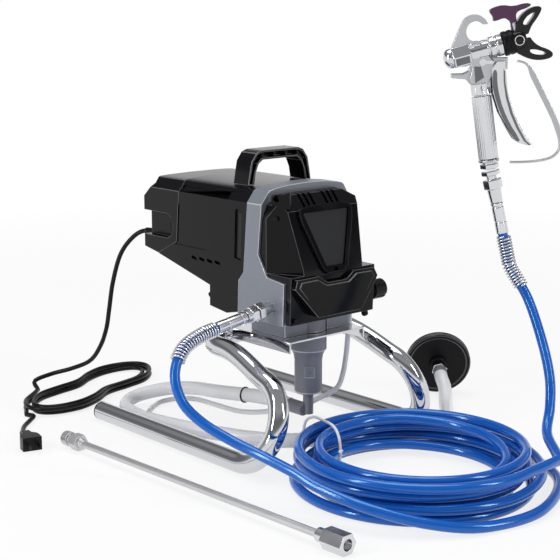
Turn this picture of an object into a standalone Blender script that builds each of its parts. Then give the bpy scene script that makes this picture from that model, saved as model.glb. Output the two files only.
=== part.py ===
"""Airless paint sprayer on a tubular stand, with its hose, spray gun, suction set, mains cord and lance.

Metres, +Z up. The machine's front faces -Y, its motor points to +Y and the floor is z = 0.
"""
import math

import bmesh
import bpy
from mathutils import Matrix, Vector

GAP = 0.0003                      # clearance left between pieces that touch
# moves the machine frame so that the kit is centred on the origin
FRAME_SHIFT = Vector((0.02107, 0.01245, 0.0))

# --- stand ---------------------------------------------------------------------------------
STAND_TUBE_R = 0.0127             # 25.4 mm tube
SKID_HALF_SPACING = 0.143         # skid centre line to the middle of the machine
SKID_REAR_Y = 0.260
FRONT_BEND_Y = -0.030             # where the floor run starts to curl up
FRONT_BEND_R = 0.049
FRONT_BEND_LEAN = 0.366           # how far the curl leans in for each metre it rises
CROSSBAR_Y = 0.0957
CROSSBAR_Z = 0.135
REAR_BEND_R = 0.047
REAR_BEND_X = 0.102
CAP_THICKNESS = 0.003

# --- bracket and pump ----------------------------------------------------------------------
BRACKET_HALF = 0.065
BRACKET_FRONT_Y = -0.036
BRACKET_FLANGE_REAR_Y = 0.074
BRACKET_THICKNESS = 0.0025
BRACKET_FLANGE_DEPTH = 0.0145
BRACKET_BOLT_X = 0.040
BOLT_R = 0.003
BOLT_HEAD_R = 0.0065
BOLT_HEAD_H = 0.0045
PUMP_BODY_R = 0.018
PUMP_COLLAR_R = 0.0236
PUMP_NECK_R = 0.0147
PUMP_BOTTOM_Z = 0.068
PUMP_COLLAR_LOW_Z = 0.124
PUMP_BORE_R = 0.009
PUMP_HEAD_R = 0.0225
INLET_X = -0.006
INLET_Z = 0.0455
INLET_R = 0.0090
INLET_BOSS_R = 0.0067
INLET_FRONT_Y = 0.0005
INLET_REAR_Y = 0.028

# --- gearbox, motor and covers ---------------------------------------------------------------
BODY_HALF = 0.075
FRAME_BASE_Z = 0.172
FRAME_TOP_Z = 0.340
FRAME_SHOULDER_Z = 0.332
FRAME_SIDE_TOP_Z = 0.318
FRAME_LOW_FRONT_Y = -0.034
FRAME_LOW_REAR_Y = 0.052
FRAME_BAND_FRONT_Y = 0.004
FRAME_BAND_REAR_Y = 0.0313
LEDGE_Z = 0.225
WALL = 0.003
FRAME_WALL = 0.005
MOTOR_AXIS_Z = 0.283
GEAR_MODULE = 0.0020
PINION_TEETH = 6
CRANK_TEETH = 34
GEAR_FRONT_Y = 0.0085
GEAR_WIDTH = 0.010
CRANK_THROW = 0.006
CRANK_PIN_R = 0.004
PISTON_ROD_R = 0.006
PISTON_LENGTH = 0.015
YOKE_HALF_THICKNESS = 0.0035
SHAFT_R = 0.004
STATOR_R = 0.0415
STATOR_BORE_R = 0.0245
STATOR_FRONT_Y = 0.086
STATOR_REAR_Y = 0.144
FAN_R = 0.036
FAN_FRONT_Y = 0.050
FAN_WIDTH = 0.016
HOUSING_REAR_Y = 0.172
MACHINE_REAR_Y = 0.247
POCKET_FLOOR_X = BODY_HALF - 0.012
HOUSING_WALL = 0.0035
ARCH_SHARE = 0.87                 # width of the arched top, as a share of the body
HANDLE_FRONT_Y = 0.054
HANDLE_REAR_Y = 0.084
HANDLE_TOP_Z = FRAME_TOP_Z + 0.038
HANDLE_FOOT_HALF = 0.055
HANDLE_TOP_HALF = 0.044
HANDLE_BAR = 0.012
HANDLE_LEG = 0.010

# --- controls ----------------------------------------------------------------------------------
KNOB_Y = -0.0265
KNOB_Z = 0.195
KNOB_R = 0.013
KNOB_LENGTH = 0.030
VALVE_Y = -0.006
VALVE_Z = 0.186
VALVE_REST_DEG = -15.0
SWITCH_Y = 0.1045
SWITCH_Z = 0.1895
SWITCH_HALF_WIDTH = 0.009
SWITCH_HALF_HEIGHT = 0.0094
SWITCH_CLEARANCE = 0.0014
BRUSH_CAP_Y = 0.196
BRUSH_CAP_Z = 0.2695
BRUSH_CAP_R = 0.0082

OUTLET_BASE = Vector((-BODY_HALF, -0.012, 0.193))
OUTLET_DIR = Vector((-math.cos(math.radians(9.0)), 0.0, -math.sin(math.radians(9.0))))
RELIEF_X = -0.050
RELIEF_Z = 0.250

# --- hoses and cord ------------------------------------------------------------------------------
HOSE_R = 0.00625                  # 12.5 mm paint hose
HOSE_COIL_OUTER_R = 0.150
HOSE_COIL_INNER_R = 0.104
HOSE_COIL_TURNS = 7.58
HOSE_COIL_LAYERS = 4
HOSE_COIL_CENTRE = Vector((-0.010, -0.200, 0.0))
HOSE_COIL_START_DEG = 75.0
LEAD_Z = HOSE_R + 0.0008          # floor runs of the hose
LOOP_POINTS = 20
GUARD_LENGTH = 0.076
SPRING_WIRE_R = 0.0009
SPRING_COIL_R = 0.0083
SPRING_PITCH = 0.0047
SPRING_POINTS = 8
FERRULE_R = 0.0079
SUCTION_HOSE_R = 0.0095
SUCTION_Z = SUCTION_HOSE_R + GAP
RETURN_TUBE_R = 0.0035
FILTER_R = 0.047
FILTER_DIR = Vector((0.6481, 0.7249, 0.2334)).normalized()
# the disc leans over its lowest point, which stands on the floor
FILTER_FACE = Vector((0.2977, 0.0429, GAP)) + FILTER_R * (
    Vector((0, 0, 1)) - FILTER_DIR * FILTER_DIR.z).normalized()
FILTER_HUB_LENGTH = 0.020
CORD_R = 0.0032
CORD_LOOPS = 3.1
HANK_HALF_LENGTH = 0.140
HANK_HALF_WIDTH = 0.062
HANK_STEP = 0.019
HANK_WAIST = 0.42
HANK_CENTRE = Vector((-0.075, 0.385, 0.0))
HANK_TURN_DEG = 22.0
HANK_START_DEG = 200.0
PLUG_REAR = Vector((-0.2785, 0.2380, 0.0098))
PLUG_DIR = Vector((-0.27, -0.963, 0.0))
PLUG_LENGTH = 0.034
BLADE_LENGTH = 0.017

# --- spray gun, seen from its right: U forward, V up, W to the viewer ------------------------------
GUN_ORIGIN = Vector((0.1336, -0.1588, 0.4927))
GUN_YAW_DEG = -41.8
NOZZLE_TILT_DEG = 15.4
HANDLE_TILT_DEG = 8.26
GRIP_R = 0.0121
GRIP_TOP = Vector((0.0028, -0.0427, 0.0))
GRIP_LENGTH = 0.078
GRIP_STUB = 0.012
TRIGGER_PIVOT = Vector((0.0253, -0.0049, 0.0))
LOCK_PIVOT = Vector((0.0021, -0.0022, 0.0))
LOCK_PIN_R = 0.0020
NOZZLE_BASE = Vector((0.0, 0.0113, 0.0))
HOSE_END = Vector((0.0342, -0.2120, 0.0))
FERRULE_LENGTH = 0.0390
DIFFUSER_R = 0.0130
TIP_COLLAR_R = 0.0150

# --- lance -------------------------------------------------------------------------------------------
LANCE_START = Vector((-0.2435, 0.1962, 0.0))
LANCE_END = Vector((-0.2242, -0.3014, 0.0))
LANCE_R = 0.0045
LANCE_NUT_R = 0.0130

COLLECTION_NAME = "airless_paint_sprayer"


# ---------------------------------------------------------------------------------------------
# tools
# ---------------------------------------------------------------------------------------------
def clear_scene():
    for obj in list(bpy.data.objects):
        bpy.data.objects.remove(obj, do_unlink=True)


def new_collection(name):
    collection = bpy.data.collections.new(name)
    bpy.context.scene.collection.children.link(collection)
    return collection


def material(name, colour, roughness, metallic=0.0, alpha=1.0):
    mat = bpy.data.materials.new(name)
    mat.use_nodes = True
    shader = mat.node_tree.nodes["Principled BSDF"]
    shader.inputs["Base Color"].default_value = (*colour, 1.0)
    shader.inputs["Roughness"].default_value = roughness
    shader.inputs["Metallic"].default_value = metallic
    shader.inputs["Alpha"].default_value = alpha
    return mat


def frame_of(origin, z_axis, x_hint=(1.0, 0.0, 0.0)):
    """Placement whose +Z points along z_axis."""
    z_dir = Vector(z_axis).normalized()
    hint = Vector(x_hint)
    if abs(hint.normalized().dot(z_dir)) > 0.95:
        hint = Vector((0.0, 1.0, 0.0))
    y_dir = z_dir.cross(hint).normalized()
    x_dir = y_dir.cross(z_dir)
    turn = Matrix((x_dir, y_dir, z_dir)).transposed().to_4x4()
    return Matrix.Translation(origin) @ turn


def add_object(name, data, colour_name, place=None):
    """A visible part in the part's own collection."""
    obj = bpy.data.objects.new(name, data)
    PARTS.objects.link(obj)
    obj.matrix_world = place if place is not None else Matrix.Identity(4)
    obj.data.materials.append(MATERIALS[colour_name])
    return obj


def add_cutter(name, data, place=None):
    obj = bpy.data.objects.new(name, data)
    CUTTERS.objects.link(obj)
    obj.matrix_world = place if place is not None else Matrix.Identity(4)
    obj.hide_render = True
    obj.display_type = 'WIRE'
    return obj


def combine(obj, data, operation, place=None):
    """Boolean of obj with a guide shape given as mesh data."""
    guide = add_cutter(obj.name + "_guide", data, place)
    step = obj.modifiers.new(operation.lower(), 'BOOLEAN')
    step.operation = operation
    step.object = guide
    return guide


def box_mesh(low, high):
    low = Vector(low)
    high = Vector(high)
    mesh = bpy.data.meshes.new("box")
    shape = bmesh.new()
    size = high - low
    bmesh.ops.create_cube(shape, size=1.0,
                          matrix=Matrix.Translation((low + high) / 2) @ Matrix.Diagonal((*size, 1.0)))
    shape.to_mesh(mesh)
    shape.free()
    return mesh


def rod_mesh(radius, low, high, sides=16, top_radius=None):
    """Cylinder, hexagon or cone along Z from low to high."""
    mesh = bpy.data.meshes.new("rod")
    shape = bmesh.new()
    bmesh.ops.create_cone(shape, cap_ends=True, segments=sides, radius1=radius,
                          radius2=radius if top_radius is None else top_radius, depth=high - low,
                          matrix=Matrix.Translation((0, 0, (low + high) / 2)))
    shape.to_mesh(mesh)
    shape.free()
    if sides > 8:
        smooth(mesh)
    return mesh


def smooth(mesh):
    mesh.shade_smooth()
    mesh.set_sharp_from_angle(angle=math.radians(35))


def turned(name, profile, colour_name, place=None, steps=24):
    """Profile of (radius, height) pairs, running down the outer side, spun about Z."""
    mesh = bpy.data.meshes.new(name)
    points = [(radius, 0.0, height) for radius, height in profile]
    edges = [(i, i + 1) for i in range(len(points) - 1)]
    if profile[0][0] > 0.0:
        edges.append((len(points) - 1, 0))
    mesh.from_pydata(points, edges, [])
    obj = add_object(name, mesh, colour_name, place)
    spin = obj.modifiers.new("spin", 'SCREW')
    spin.steps = steps
    spin.render_steps = steps
    spin.use_merge_vertices = True
    spin.merge_threshold = 0.00001
    spin.use_smooth_shade = True
    return obj


AXES = {
    'YZ': Matrix(((0, 0, 1, 0), (1, 0, 0, 0), (0, 1, 0, 0), (0, 0, 0, 1))),
    'XZ': Matrix(((1, 0, 0, 0), (0, 0, -1, 0), (0, 1, 0, 0), (0, 0, 0, 1))),
    'XY': Matrix.Identity(4),
}


def outline_mesh(outline, low, high, plane='XY'):
    """Flat outline in the named plane, thick from low to high along that plane's normal axis."""
    curve = bpy.data.curves.new("outline", 'CURVE')
    curve.dimensions = '2D'
    curve.fill_mode = 'BOTH'
    curve.extrude = (high - low) / 2
    spline = curve.splines.new('POLY')
    spline.points.add(len(outline) - 1)
    for point, (a, b) in zip(spline.points, outline):
        point.co = (a, b, 0.0, 1.0)
    spline.use_cyclic_u = True
    holder = bpy.data.objects.new("outline", curve)
    bpy.context.scene.collection.objects.link(holder)
    mesh = bpy.data.meshes.new_from_object(holder.evaluated_get(bpy.context.evaluated_depsgraph_get()))
    bpy.data.objects.remove(holder, do_unlink=True)
    shape = bmesh.new()
    shape.from_mesh(mesh)
    bmesh.ops.remove_doubles(shape, verts=shape.verts, dist=0.000001)
    middle = (low + high) / 2
    if plane == 'XZ':
        middle = -middle
    bmesh.ops.transform(shape, matrix=AXES[plane] @ Matrix.Translation((0, 0, middle)), verts=shape.verts)
    bmesh.ops.recalc_face_normals(shape, faces=shape.faces)
    shape.to_mesh(mesh)
    shape.free()
    return mesh


def smooth_route(knots, step, fine_run=0.0, fine_step=0.01):
    """Smooth curve through the knots, straight between its first two and its last two.

    The points stand a step apart, or a fine step within the fine run from the start.
    """
    knots = [Vector(k) for k in knots]
    curve = []
    for before, a, b, after in zip(knots, knots[1:], knots[2:], knots[3:]):
        for k in range(24):
            t = k / 24
            curve.append(0.5 * (2 * a + (b - before) * t + (2 * before - 5 * a + 4 * b - after) * t ** 2
                                + (3 * a - before - 3 * b + after) * t ** 3))
    curve.append(knots[-2])
    if fine_run:
        close = even_points(curve, 0.0005)
        cut = min(round(fine_run / 0.0005), len(close) - 2)
        curve = even_points(close[:cut + 1], fine_step)[:-1] + even_points(close[cut:], step)
    else:
        curve = even_points(curve, step)
    return [knots[0]] + curve + [knots[-1]]


def even_points(points, step):
    total = route_length(points)
    count = max(2, round(total / step))
    result = [points[0].copy()]
    walked = 0.0
    for a, b in zip(points, points[1:]):
        span = (b - a).length
        while len(result) < count and span > 0 and walked + span >= total * len(result) / count:
            result.append(a.lerp(b, (total * len(result) / count - walked) / span))
        walked += span
    result.append(points[-1].copy())
    return result


def route_length(points):
    return sum((b - a).length for a, b in zip(points, points[1:]))


def tube(name, points, radius, colour_name, resolution=2):
    """Round tube along the points, with closed ends."""
    curve = bpy.data.curves.new(name, 'CURVE')
    curve.dimensions = '3D'
    curve.bevel_depth = radius
    curve.bevel_resolution = resolution
    curve.use_fill_caps = True
    spline = curve.splines.new('POLY')
    spline.points.add(len(points) - 1)
    for point, place in zip(spline.points, points):
        point.co = (*place, 1.0)
    obj = add_object(name, curve, colour_name)
    return obj


def tube_mesh(name, points, radius, colour_name, resolution=3):
    """The same tube as a mesh that can be cut."""
    curved = tube(name + "_path", points, radius, colour_name, resolution)
    mesh = bpy.data.meshes.new_from_object(curved.evaluated_get(bpy.context.evaluated_depsgraph_get()))
    bpy.data.objects.remove(curved, do_unlink=True)
    shape = bmesh.new()
    shape.from_mesh(mesh)
    bmesh.ops.remove_doubles(shape, verts=shape.verts, dist=0.000001)
    shape.to_mesh(mesh)
    shape.free()
    mesh.materials.clear()
    return add_object(name, mesh, colour_name)


def least_self_gap(points, radius, skip):
    """Clear distance between turns of one tube, measured between its points."""
    least = 1.0
    for i, a in enumerate(points):
        for b in points[i + skip:]:
            least = min(least, (a - b).length)
    return least - 2 * radius


def wound_route(turns, layers, half_length, half_width, step_in, rise, waist, start_deg,
                per_loop=LOOP_POINTS):
    """Loops that spiral in and out again and climb one layer in the half turn where they reverse."""
    count = round(turns * per_loop)
    per_layer = turns / layers
    points = []
    for k in range(count + 1):
        turn = turns * k / count
        layer = min(int(turn / per_layer), layers - 1)
        along = turn / per_layer - layer
        inward = along if layer % 2 == 0 else 1.0 - along
        climb = 0.0
        for reversal in range(1, layers):
            climb += min(max((turn - reversal * per_layer) / 0.5 + 0.5, 0.0), 1.0)
        angle = math.radians(start_deg) + 2 * math.pi * turn
        draw = 1.0 - waist * math.exp(-(math.cos(angle) / 0.42) ** 2)
        x = (half_length - inward * step_in) * math.cos(angle)
        y = (half_width - inward * step_in) * math.sin(angle) * draw
        points.append(Vector((x, y, climb * rise)))
    return points


def helix_around(path, coil_radius, pitch, per_turn, wire_radius):
    """Spring wire wound round a path, with ends that run straight for one wire diameter."""
    total = route_length(path)
    turns = math.floor((total - 4 * wire_radius) / pitch)
    span = turns * pitch
    count = turns * per_turn
    fine = even_points(path, total / (count + 1))
    side = (fine[1] - fine[0]).orthogonal().normalized()
    points = []
    for k in range(count + 1):
        walked = 2 * wire_radius + span * k / count
        index = min(walked / total * (len(fine) - 1), len(fine) - 1.001)
        low = int(index)
        centre = fine[low].lerp(fine[low + 1], index - low)
        along = (fine[low + 1] - fine[low]).normalized()
        side = (side - along * side.dot(along)).normalized()
        up = along.cross(side)
        angle = 2 * math.pi * k / per_turn
        points.append(centre + coil_radius * (math.cos(angle) * side + math.sin(angle) * up))
        if k == 0:
            points.insert(0, points[0] - along * 2 * wire_radius)
    points.append(points[-1] + along * 2 * wire_radius)
    return points


def build_stand():
    """One bent tube makes both skids and the crossbar between them."""
    half = []
    for k in range(3):
        y = SKID_REAR_Y + (FRONT_BEND_Y - SKID_REAR_Y) * k / 2
        half.append(Vector((SKID_HALF_SPACING, y, STAND_TUBE_R)))
    for k in range(1, 10):
        angle = math.pi * k / 10
        z = STAND_TUBE_R + FRONT_BEND_R * (1 - math.cos(angle))
        lean = FRONT_BEND_LEAN * (z - STAND_TUBE_R)
        half.append(Vector((SKID_HALF_SPACING - lean, FRONT_BEND_Y - FRONT_BEND_R * math.sin(angle), z)))
    bend_start = Vector((REAR_BEND_X, CROSSBAR_Y - REAR_BEND_R, CROSSBAR_Z))
    # from the curl's slope to level, without a kink at either end
    curl_end, run = half[-1], (bend_start - half[-1]).length
    slope = Vector((0, -math.cos(angle), math.sin(angle))) * run
    for t in (0.25, 0.5, 0.75):
        half.append(curl_end * (1 + 2 * t) * (1 - t) ** 2 + slope * t * (1 - t) ** 2
                    + bend_start * t ** 2 * (3 - 2 * t) - Vector((0, run, 0)) * t ** 2 * (1 - t))
    for k in range(7):
        angle = math.pi / 2 * k / 6
        x = REAR_BEND_X - REAR_BEND_R * (1 - math.cos(angle))
        half.append(Vector((x, bend_start.y + REAR_BEND_R * math.sin(angle), CROSSBAR_Z)))
    mirrored = [Vector((-p.x, p.y, p.z)) for p in reversed(half)]
    stand = tube_mesh("stand_tube", half + mirrored, STAND_TUBE_R, "chrome", 2)
    for side in (-1, 1):
        place = Matrix.Translation((side * BRACKET_BOLT_X, CROSSBAR_Y, CROSSBAR_Z))
        combine(stand, rod_mesh(BOLT_R + GAP, -STAND_TUBE_R * 0.5, STAND_TUBE_R * 1.5, 12), 'DIFFERENCE',
                place)
    for side, label in ((-1, "left"), (1, "right")):
        place = frame_of((side * SKID_HALF_SPACING, SKID_REAR_Y + GAP, STAND_TUBE_R), (0, 1, 0))
        turned("skid_cap_" + label, [(0, CAP_THICKNESS), (STAND_TUBE_R - 0.001, CAP_THICKNESS),
                                     (STAND_TUBE_R, CAP_THICKNESS - 0.001), (STAND_TUBE_R, 0), (0, 0)],
               "black_satin", place, 16)


def bracket_top_z():
    return CROSSBAR_Z + STAND_TUBE_R + GAP + BRACKET_THICKNESS


def build_bracket():
    """Pressed channel that sits on the crossbar and carries the pump and the gearbox."""
    top = bracket_top_z()
    low = top - BRACKET_THICKNESS
    rear = CROSSBAR_Y + STAND_TUBE_R * 0.7
    bracket = add_object("stand_bracket", box_mesh((-BRACKET_HALF, BRACKET_FRONT_Y, low),
                                                   (BRACKET_HALF, rear, top)), "chrome")
    for side in (-1, 1):
        inner = side * (BRACKET_HALF - BRACKET_THICKNESS)
        outer = side * BRACKET_HALF
        combine(bracket, box_mesh((min(inner, outer), BRACKET_FRONT_Y, top - BRACKET_FLANGE_DEPTH),
                                  (max(inner, outer), BRACKET_FLANGE_REAR_Y, top)), 'UNION')
        place = Matrix.Translation((side * BRACKET_BOLT_X, CROSSBAR_Y, low))
        combine(bracket, rod_mesh(BOLT_R + GAP, -0.01, 0.01, 12), 'DIFFERENCE', place)
    combine(bracket, rod_mesh(PUMP_NECK_R + GAP, low - 0.01, top + 0.01, 20), 'DIFFERENCE')
    for side, label in ((-1, "left"), (1, "right")):
        place = Matrix.Translation((side * BRACKET_BOLT_X, CROSSBAR_Y, top + GAP))
        bolt = add_object("bracket_bolt_" + label, rod_mesh(BOLT_HEAD_R, 0, BOLT_HEAD_H, 6), "zinc", place)
        combine(bolt, rod_mesh(BOLT_R, -STAND_TUBE_R * 0.6, BOLT_HEAD_H / 2, 12), 'UNION', place)


def build_pump():
    top = bracket_top_z()
    plate_low = top - BRACKET_THICKNESS
    head_top = FRAME_BASE_Z - GAP
    turned("pump_cylinder", [(PUMP_NECK_R, head_top), (PUMP_NECK_R, plate_low - GAP),
                             (PUMP_COLLAR_R, plate_low - GAP), (PUMP_COLLAR_R, PUMP_COLLAR_LOW_Z + 0.002),
                             (PUMP_COLLAR_R - 0.002, PUMP_COLLAR_LOW_Z),
                             (PUMP_BODY_R + 0.0015, PUMP_COLLAR_LOW_Z - 0.004),
                             (PUMP_BODY_R, PUMP_COLLAR_LOW_Z - 0.012),
                             (PUMP_BODY_R, PUMP_BOTTOM_Z + 0.002), (PUMP_BODY_R - 0.002, PUMP_BOTTOM_Z),
                             (PUMP_BORE_R, PUMP_BOTTOM_Z), (PUMP_BORE_R, head_top)], "cast_grey", None,
           20)
    turned("pump_head", [(PUMP_HEAD_R - 0.001, head_top), (PUMP_HEAD_R, head_top - 0.001),
                         (PUMP_HEAD_R, top + GAP + 0.001), (PUMP_HEAD_R - 0.001, top + GAP),
                         (PUMP_NECK_R + GAP, top + GAP), (PUMP_NECK_R + GAP, head_top)], "dark_grey",
           None, 20)
    inlet = turned("suction_inlet", [(0, INLET_REAR_Y), (INLET_R - 0.001, INLET_REAR_Y),
                                     (INLET_R, INLET_REAR_Y - 0.001), (INLET_R, INLET_FRONT_Y + 0.001),
                                     (INLET_R - 0.001, INLET_FRONT_Y), (0, INLET_FRONT_Y)], "cast_grey",
                   frame_of((INLET_X, 0, INLET_Z), (0, 1, 0)), 16)
    combine(inlet, rod_mesh(INLET_BOSS_R, INLET_Z - INLET_R * 0.7, PUMP_BOTTOM_Z - GAP, 16), 'UNION')


def front_outline(base_z, top_z):
    """Front view of the casing: straight sides, sloped shoulders and a slightly arched top."""
    arch = []
    for degrees in range(0, 181, 20):
        angle = math.radians(degrees)
        arch.append((BODY_HALF * ARCH_SHARE * math.cos(angle),
                     FRAME_SHOULDER_Z + (top_z - FRAME_SHOULDER_Z) * math.sin(angle)))
    return [(-BODY_HALF, base_z), (BODY_HALF, base_z),
            (BODY_HALF, FRAME_SIDE_TOP_Z)] + arch + [(-BODY_HALF, FRAME_SIDE_TOP_Z)]


def crank_axis_z():
    return MOTOR_AXIS_Z - GEAR_MODULE * (PINION_TEETH + CRANK_TEETH) / 2


def build_frame():
    """Grey cast gearbox frame: a broad base, a band that arches over the top, and the pump's seat."""
    side = [(FRAME_LOW_FRONT_Y, FRAME_BASE_Z), (FRAME_LOW_REAR_Y, FRAME_BASE_Z),
            (FRAME_LOW_REAR_Y - 0.002, LEDGE_Z - 0.007), (FRAME_BAND_REAR_Y + 0.009, LEDGE_Z + 0.004),
            (FRAME_BAND_REAR_Y, FRAME_SHOULDER_Z), (FRAME_BAND_REAR_Y, FRAME_TOP_Z + 0.01),
            (FRAME_BAND_FRONT_Y, FRAME_TOP_Z + 0.01), (FRAME_BAND_FRONT_Y, FRAME_SHOULDER_Z),
            (FRAME_BAND_FRONT_Y + 0.008, LEDGE_Z + 0.031), (-0.004, LEDGE_Z + 0.004),
            (FRAME_LOW_FRONT_Y - 0.002, LEDGE_Z)]
    frame = add_object("gear_frame", outline_mesh(side, -BODY_HALF - 0.01, BODY_HALF + 0.01, 'YZ'),
                       "cast_grey")
    combine(frame, outline_mesh(front_outline(FRAME_BASE_Z - 0.01, FRAME_TOP_Z), -0.1, 0.1, 'XZ'),
            'INTERSECT')
    combine(frame, box_mesh((-0.055, -0.016, bracket_top_z() + GAP),
                            (0.055, 0.048, FRAME_BASE_Z + 0.002)), 'UNION')
    combine(frame, rod_mesh(PUMP_HEAD_R + 0.0011, bracket_top_z() - 0.01, FRAME_BASE_Z, 20), 'DIFFERENCE')
    gear_rear = FRAME_BAND_REAR_Y - FRAME_WALL
    combine(frame, box_mesh((-BODY_HALF + 0.017, -0.05, LEDGE_Z + 0.010),
                            (BODY_HALF - 0.017, gear_rear, FRAME_SIDE_TOP_Z)), 'DIFFERENCE')
    combine(frame, box_mesh((-0.0385, -0.012, 0.205), (0.0385, gear_rear, LEDGE_Z + 0.012)), 'DIFFERENCE')
    combine(frame, box_mesh((-0.020, -0.012, 0.186), (0.020, gear_rear, 0.207)), 'DIFFERENCE')
    combine(frame, rod_mesh(PISTON_ROD_R + 0.001, FRAME_BASE_Z - 0.01, 0.19, 12), 'DIFFERENCE')
    through_wall = frame_of((0, gear_rear - 0.01, MOTOR_AXIS_Z), (0, 1, 0))
    combine(frame, rod_mesh(SHAFT_R + 0.0005, 0, 0.03, 12), 'DIFFERENCE', through_wall)
    crank_bearing = frame_of((0, gear_rear - 0.01, crank_axis_z()), (0, 1, 0))
    combine(frame, rod_mesh(0.0066, 0, 0.013, 12), 'DIFFERENCE', crank_bearing)
    stud = frame_of(OUTLET_BASE, OUTLET_DIR)
    combine(frame, rod_mesh(0.0072 + GAP, -0.011, 0.02, 12), 'DIFFERENCE', stud)
    knob_seat = frame_of((BODY_HALF - 0.008, KNOB_Y, KNOB_Z), (1, 0, 0))
    combine(frame, rod_mesh(0.0043, 0, 0.02, 12), 'DIFFERENCE', knob_seat)
    valve_seat = frame_of((BODY_HALF - 0.008, VALVE_Y, VALVE_Z), (1, 0, 0))
    combine(frame, rod_mesh(0.0063, 0, 0.02, 12), 'DIFFERENCE', valve_seat)


def build_front_cover():
    """Black gearbox cover with its sloping front, the panel on it and the pointed lower cover."""
    side = [(0.0036, 0.3300), (-0.011, 0.329), (-0.026, 0.311), (-0.045, 0.240), (-0.046, 0.230),
            (-0.044, 0.1735), (FRAME_LOW_FRONT_Y - 0.0028, 0.1735),
            (FRAME_LOW_FRONT_Y - 0.0028, LEDGE_Z + 0.0006), (-0.0044, LEDGE_Z + 0.0046),
            (0.0114, LEDGE_Z + 0.0312)]
    cover = add_object("front_cover", outline_mesh(side, -BODY_HALF + 0.003, BODY_HALF - 0.003, 'YZ'),
                       "black_gloss")
    hollow = [(0.02, 0.318), (-0.010, 0.318), (-0.0228, 0.306), (-0.0402, 0.242), (0.02, 0.242)]
    combine(cover, outline_mesh(hollow, -BODY_HALF + 0.023, BODY_HALF - 0.023, 'YZ'), 'DIFFERENCE')
    combine(cover, box_mesh((-0.022, -0.012, 0.215), (0.022, 0.020, 0.243)), 'DIFFERENCE')
    for s in (-1, 1):
        outside = BODY_HALF + 0.025
        wedge = [(s * (BODY_HALF - 0.0029), 0.0), (s * (BODY_HALF - 0.027), -0.050),
                 (s * outside, -0.050), (s * outside, 0.0)]
        combine(cover, outline_mesh(wedge, 0.2335, 0.35, 'XY'), 'DIFFERENCE')
        shoulder = [(s * (BODY_HALF - 0.031), 0.34), (s * (BODY_HALF - 0.029), 0.3295),
                    (s * (BODY_HALF - 0.009), 0.318), (s * (BODY_HALF - 0.0025), 0.300),
                    (s * outside, 0.30), (s * outside, 0.34)]
        combine(cover, outline_mesh(shoulder, -0.06, 0.03, 'XZ'), 'DIFFERENCE')
    lean = math.atan2(0.019, 0.071)
    middle = Vector((0, -0.0355, 0.2755))
    normal = Vector((0, -math.cos(lean), math.sin(lean)))
    place = Matrix.Translation(middle + normal * GAP) @ Matrix.Rotation(math.radians(90) - lean, 4, 'X')
    panel = [(-0.0385, 0.031), (-0.0365, 0.033), (0.0365, 0.033), (0.0385, 0.031), (0.0160, -0.0335),
             (0.0135, -0.036), (-0.0135, -0.036), (-0.0160, -0.0335)]
    add_object("badge_panel", outline_mesh(panel, 0, 0.002), "dark_grey", place)
    corner = BODY_HALF - 0.004
    chin = [(0.005 - corner, 0.231), (-corner, 0.220), (-0.037, 0.1815), (0.037, 0.1815), (corner, 0.220),
            (corner - 0.005, 0.231), (0.030, 0.2315), (0.016, 0.2225), (-0.016, 0.2225), (-0.030, 0.2315)]
    chin_cover = add_object("chin_cover", outline_mesh(chin, -0.058, -0.0463, 'XZ'), "black_gloss")
    slope = [(-0.065, 0.19), (-0.058, 0.19), (-0.0505, 0.235), (-0.065, 0.235)]
    combine(chin_cover, outline_mesh(slope, -0.09, 0.09, 'YZ'), 'DIFFERENCE')
    side_slope = (-0.9008, -0.4342, 0.0)
    for label, spot, facing in (("top", (0.0089 - BODY_HALF, -0.0125, 0.3020), side_slope),
                                ("bottom", (0.0105 - BODY_HALF, -0.0443, 0.1790), (0, -1, 0))):
        add_object("cover_screw_" + label, rod_mesh(0.0032, 0.0004, 0.0032, 12), "zinc",
                   frame_of(spot, facing))


def build_motor_housing():
    """Black motor housing behind the frame, open at both ends, and the cap that closes its rear."""
    front = FRAME_BAND_REAR_Y + GAP
    side = [(front, FRAME_TOP_Z + 0.01), (HOUSING_REAR_Y - 0.004, FRAME_TOP_Z + 0.01),
            (HOUSING_REAR_Y - 0.004, 0.328), (HOUSING_REAR_Y, 0.300), (HOUSING_REAR_Y + 0.004, 0.250),
            (HOUSING_REAR_Y + 0.044, 0.230), (0.107, 0.203), (0.107, 0.176),
            (0.073, FRAME_BASE_Z - 0.0005), (FRAME_LOW_REAR_Y + 0.0006, 0.176),
            (FRAME_LOW_REAR_Y - 0.0014, LEDGE_Z - 0.0068), (FRAME_BAND_REAR_Y + 0.0094, LEDGE_Z + 0.0042),
            (front, FRAME_SHOULDER_Z)]
    housing = add_object("motor_housing", outline_mesh(side, -BODY_HALF - 0.015, BODY_HALF + 0.015, 'YZ'),
                         "black_satin")
    outline = front_outline(0.16, FRAME_TOP_Z - 0.004)
    combine(housing, outline_mesh(outline, 0.0, 0.3, 'XZ'), 'INTERSECT')
    hollow = [(0.02, 0.3155), (0.26, 0.3155), (0.26, 0.239), (0.190, 0.239), (0.165, 0.2275),
              (0.1035, 0.2075), (0.1035, 0.180), (0.05, 0.180)]
    inside = BODY_HALF - HOUSING_WALL
    combine(housing, outline_mesh(hollow, -inside, inside, 'YZ'), 'DIFFERENCE')
    under_arch = BODY_HALF * ARCH_SHARE - HOUSING_WALL
    combine(housing, box_mesh((-under_arch, 0.02, 0.300), (under_arch, 0.26, 0.3265)), 'DIFFERENCE')
    hole = SWITCH_HALF_HEIGHT + SWITCH_CLEARANCE
    combine(housing, box_mesh((-SWITCH_HALF_WIDTH, SWITCH_Y - 0.005, SWITCH_Z - hole),
                              (SWITCH_HALF_WIDTH, SWITCH_Y + 0.015, SWITCH_Z + hole)), 'DIFFERENCE')


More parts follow.
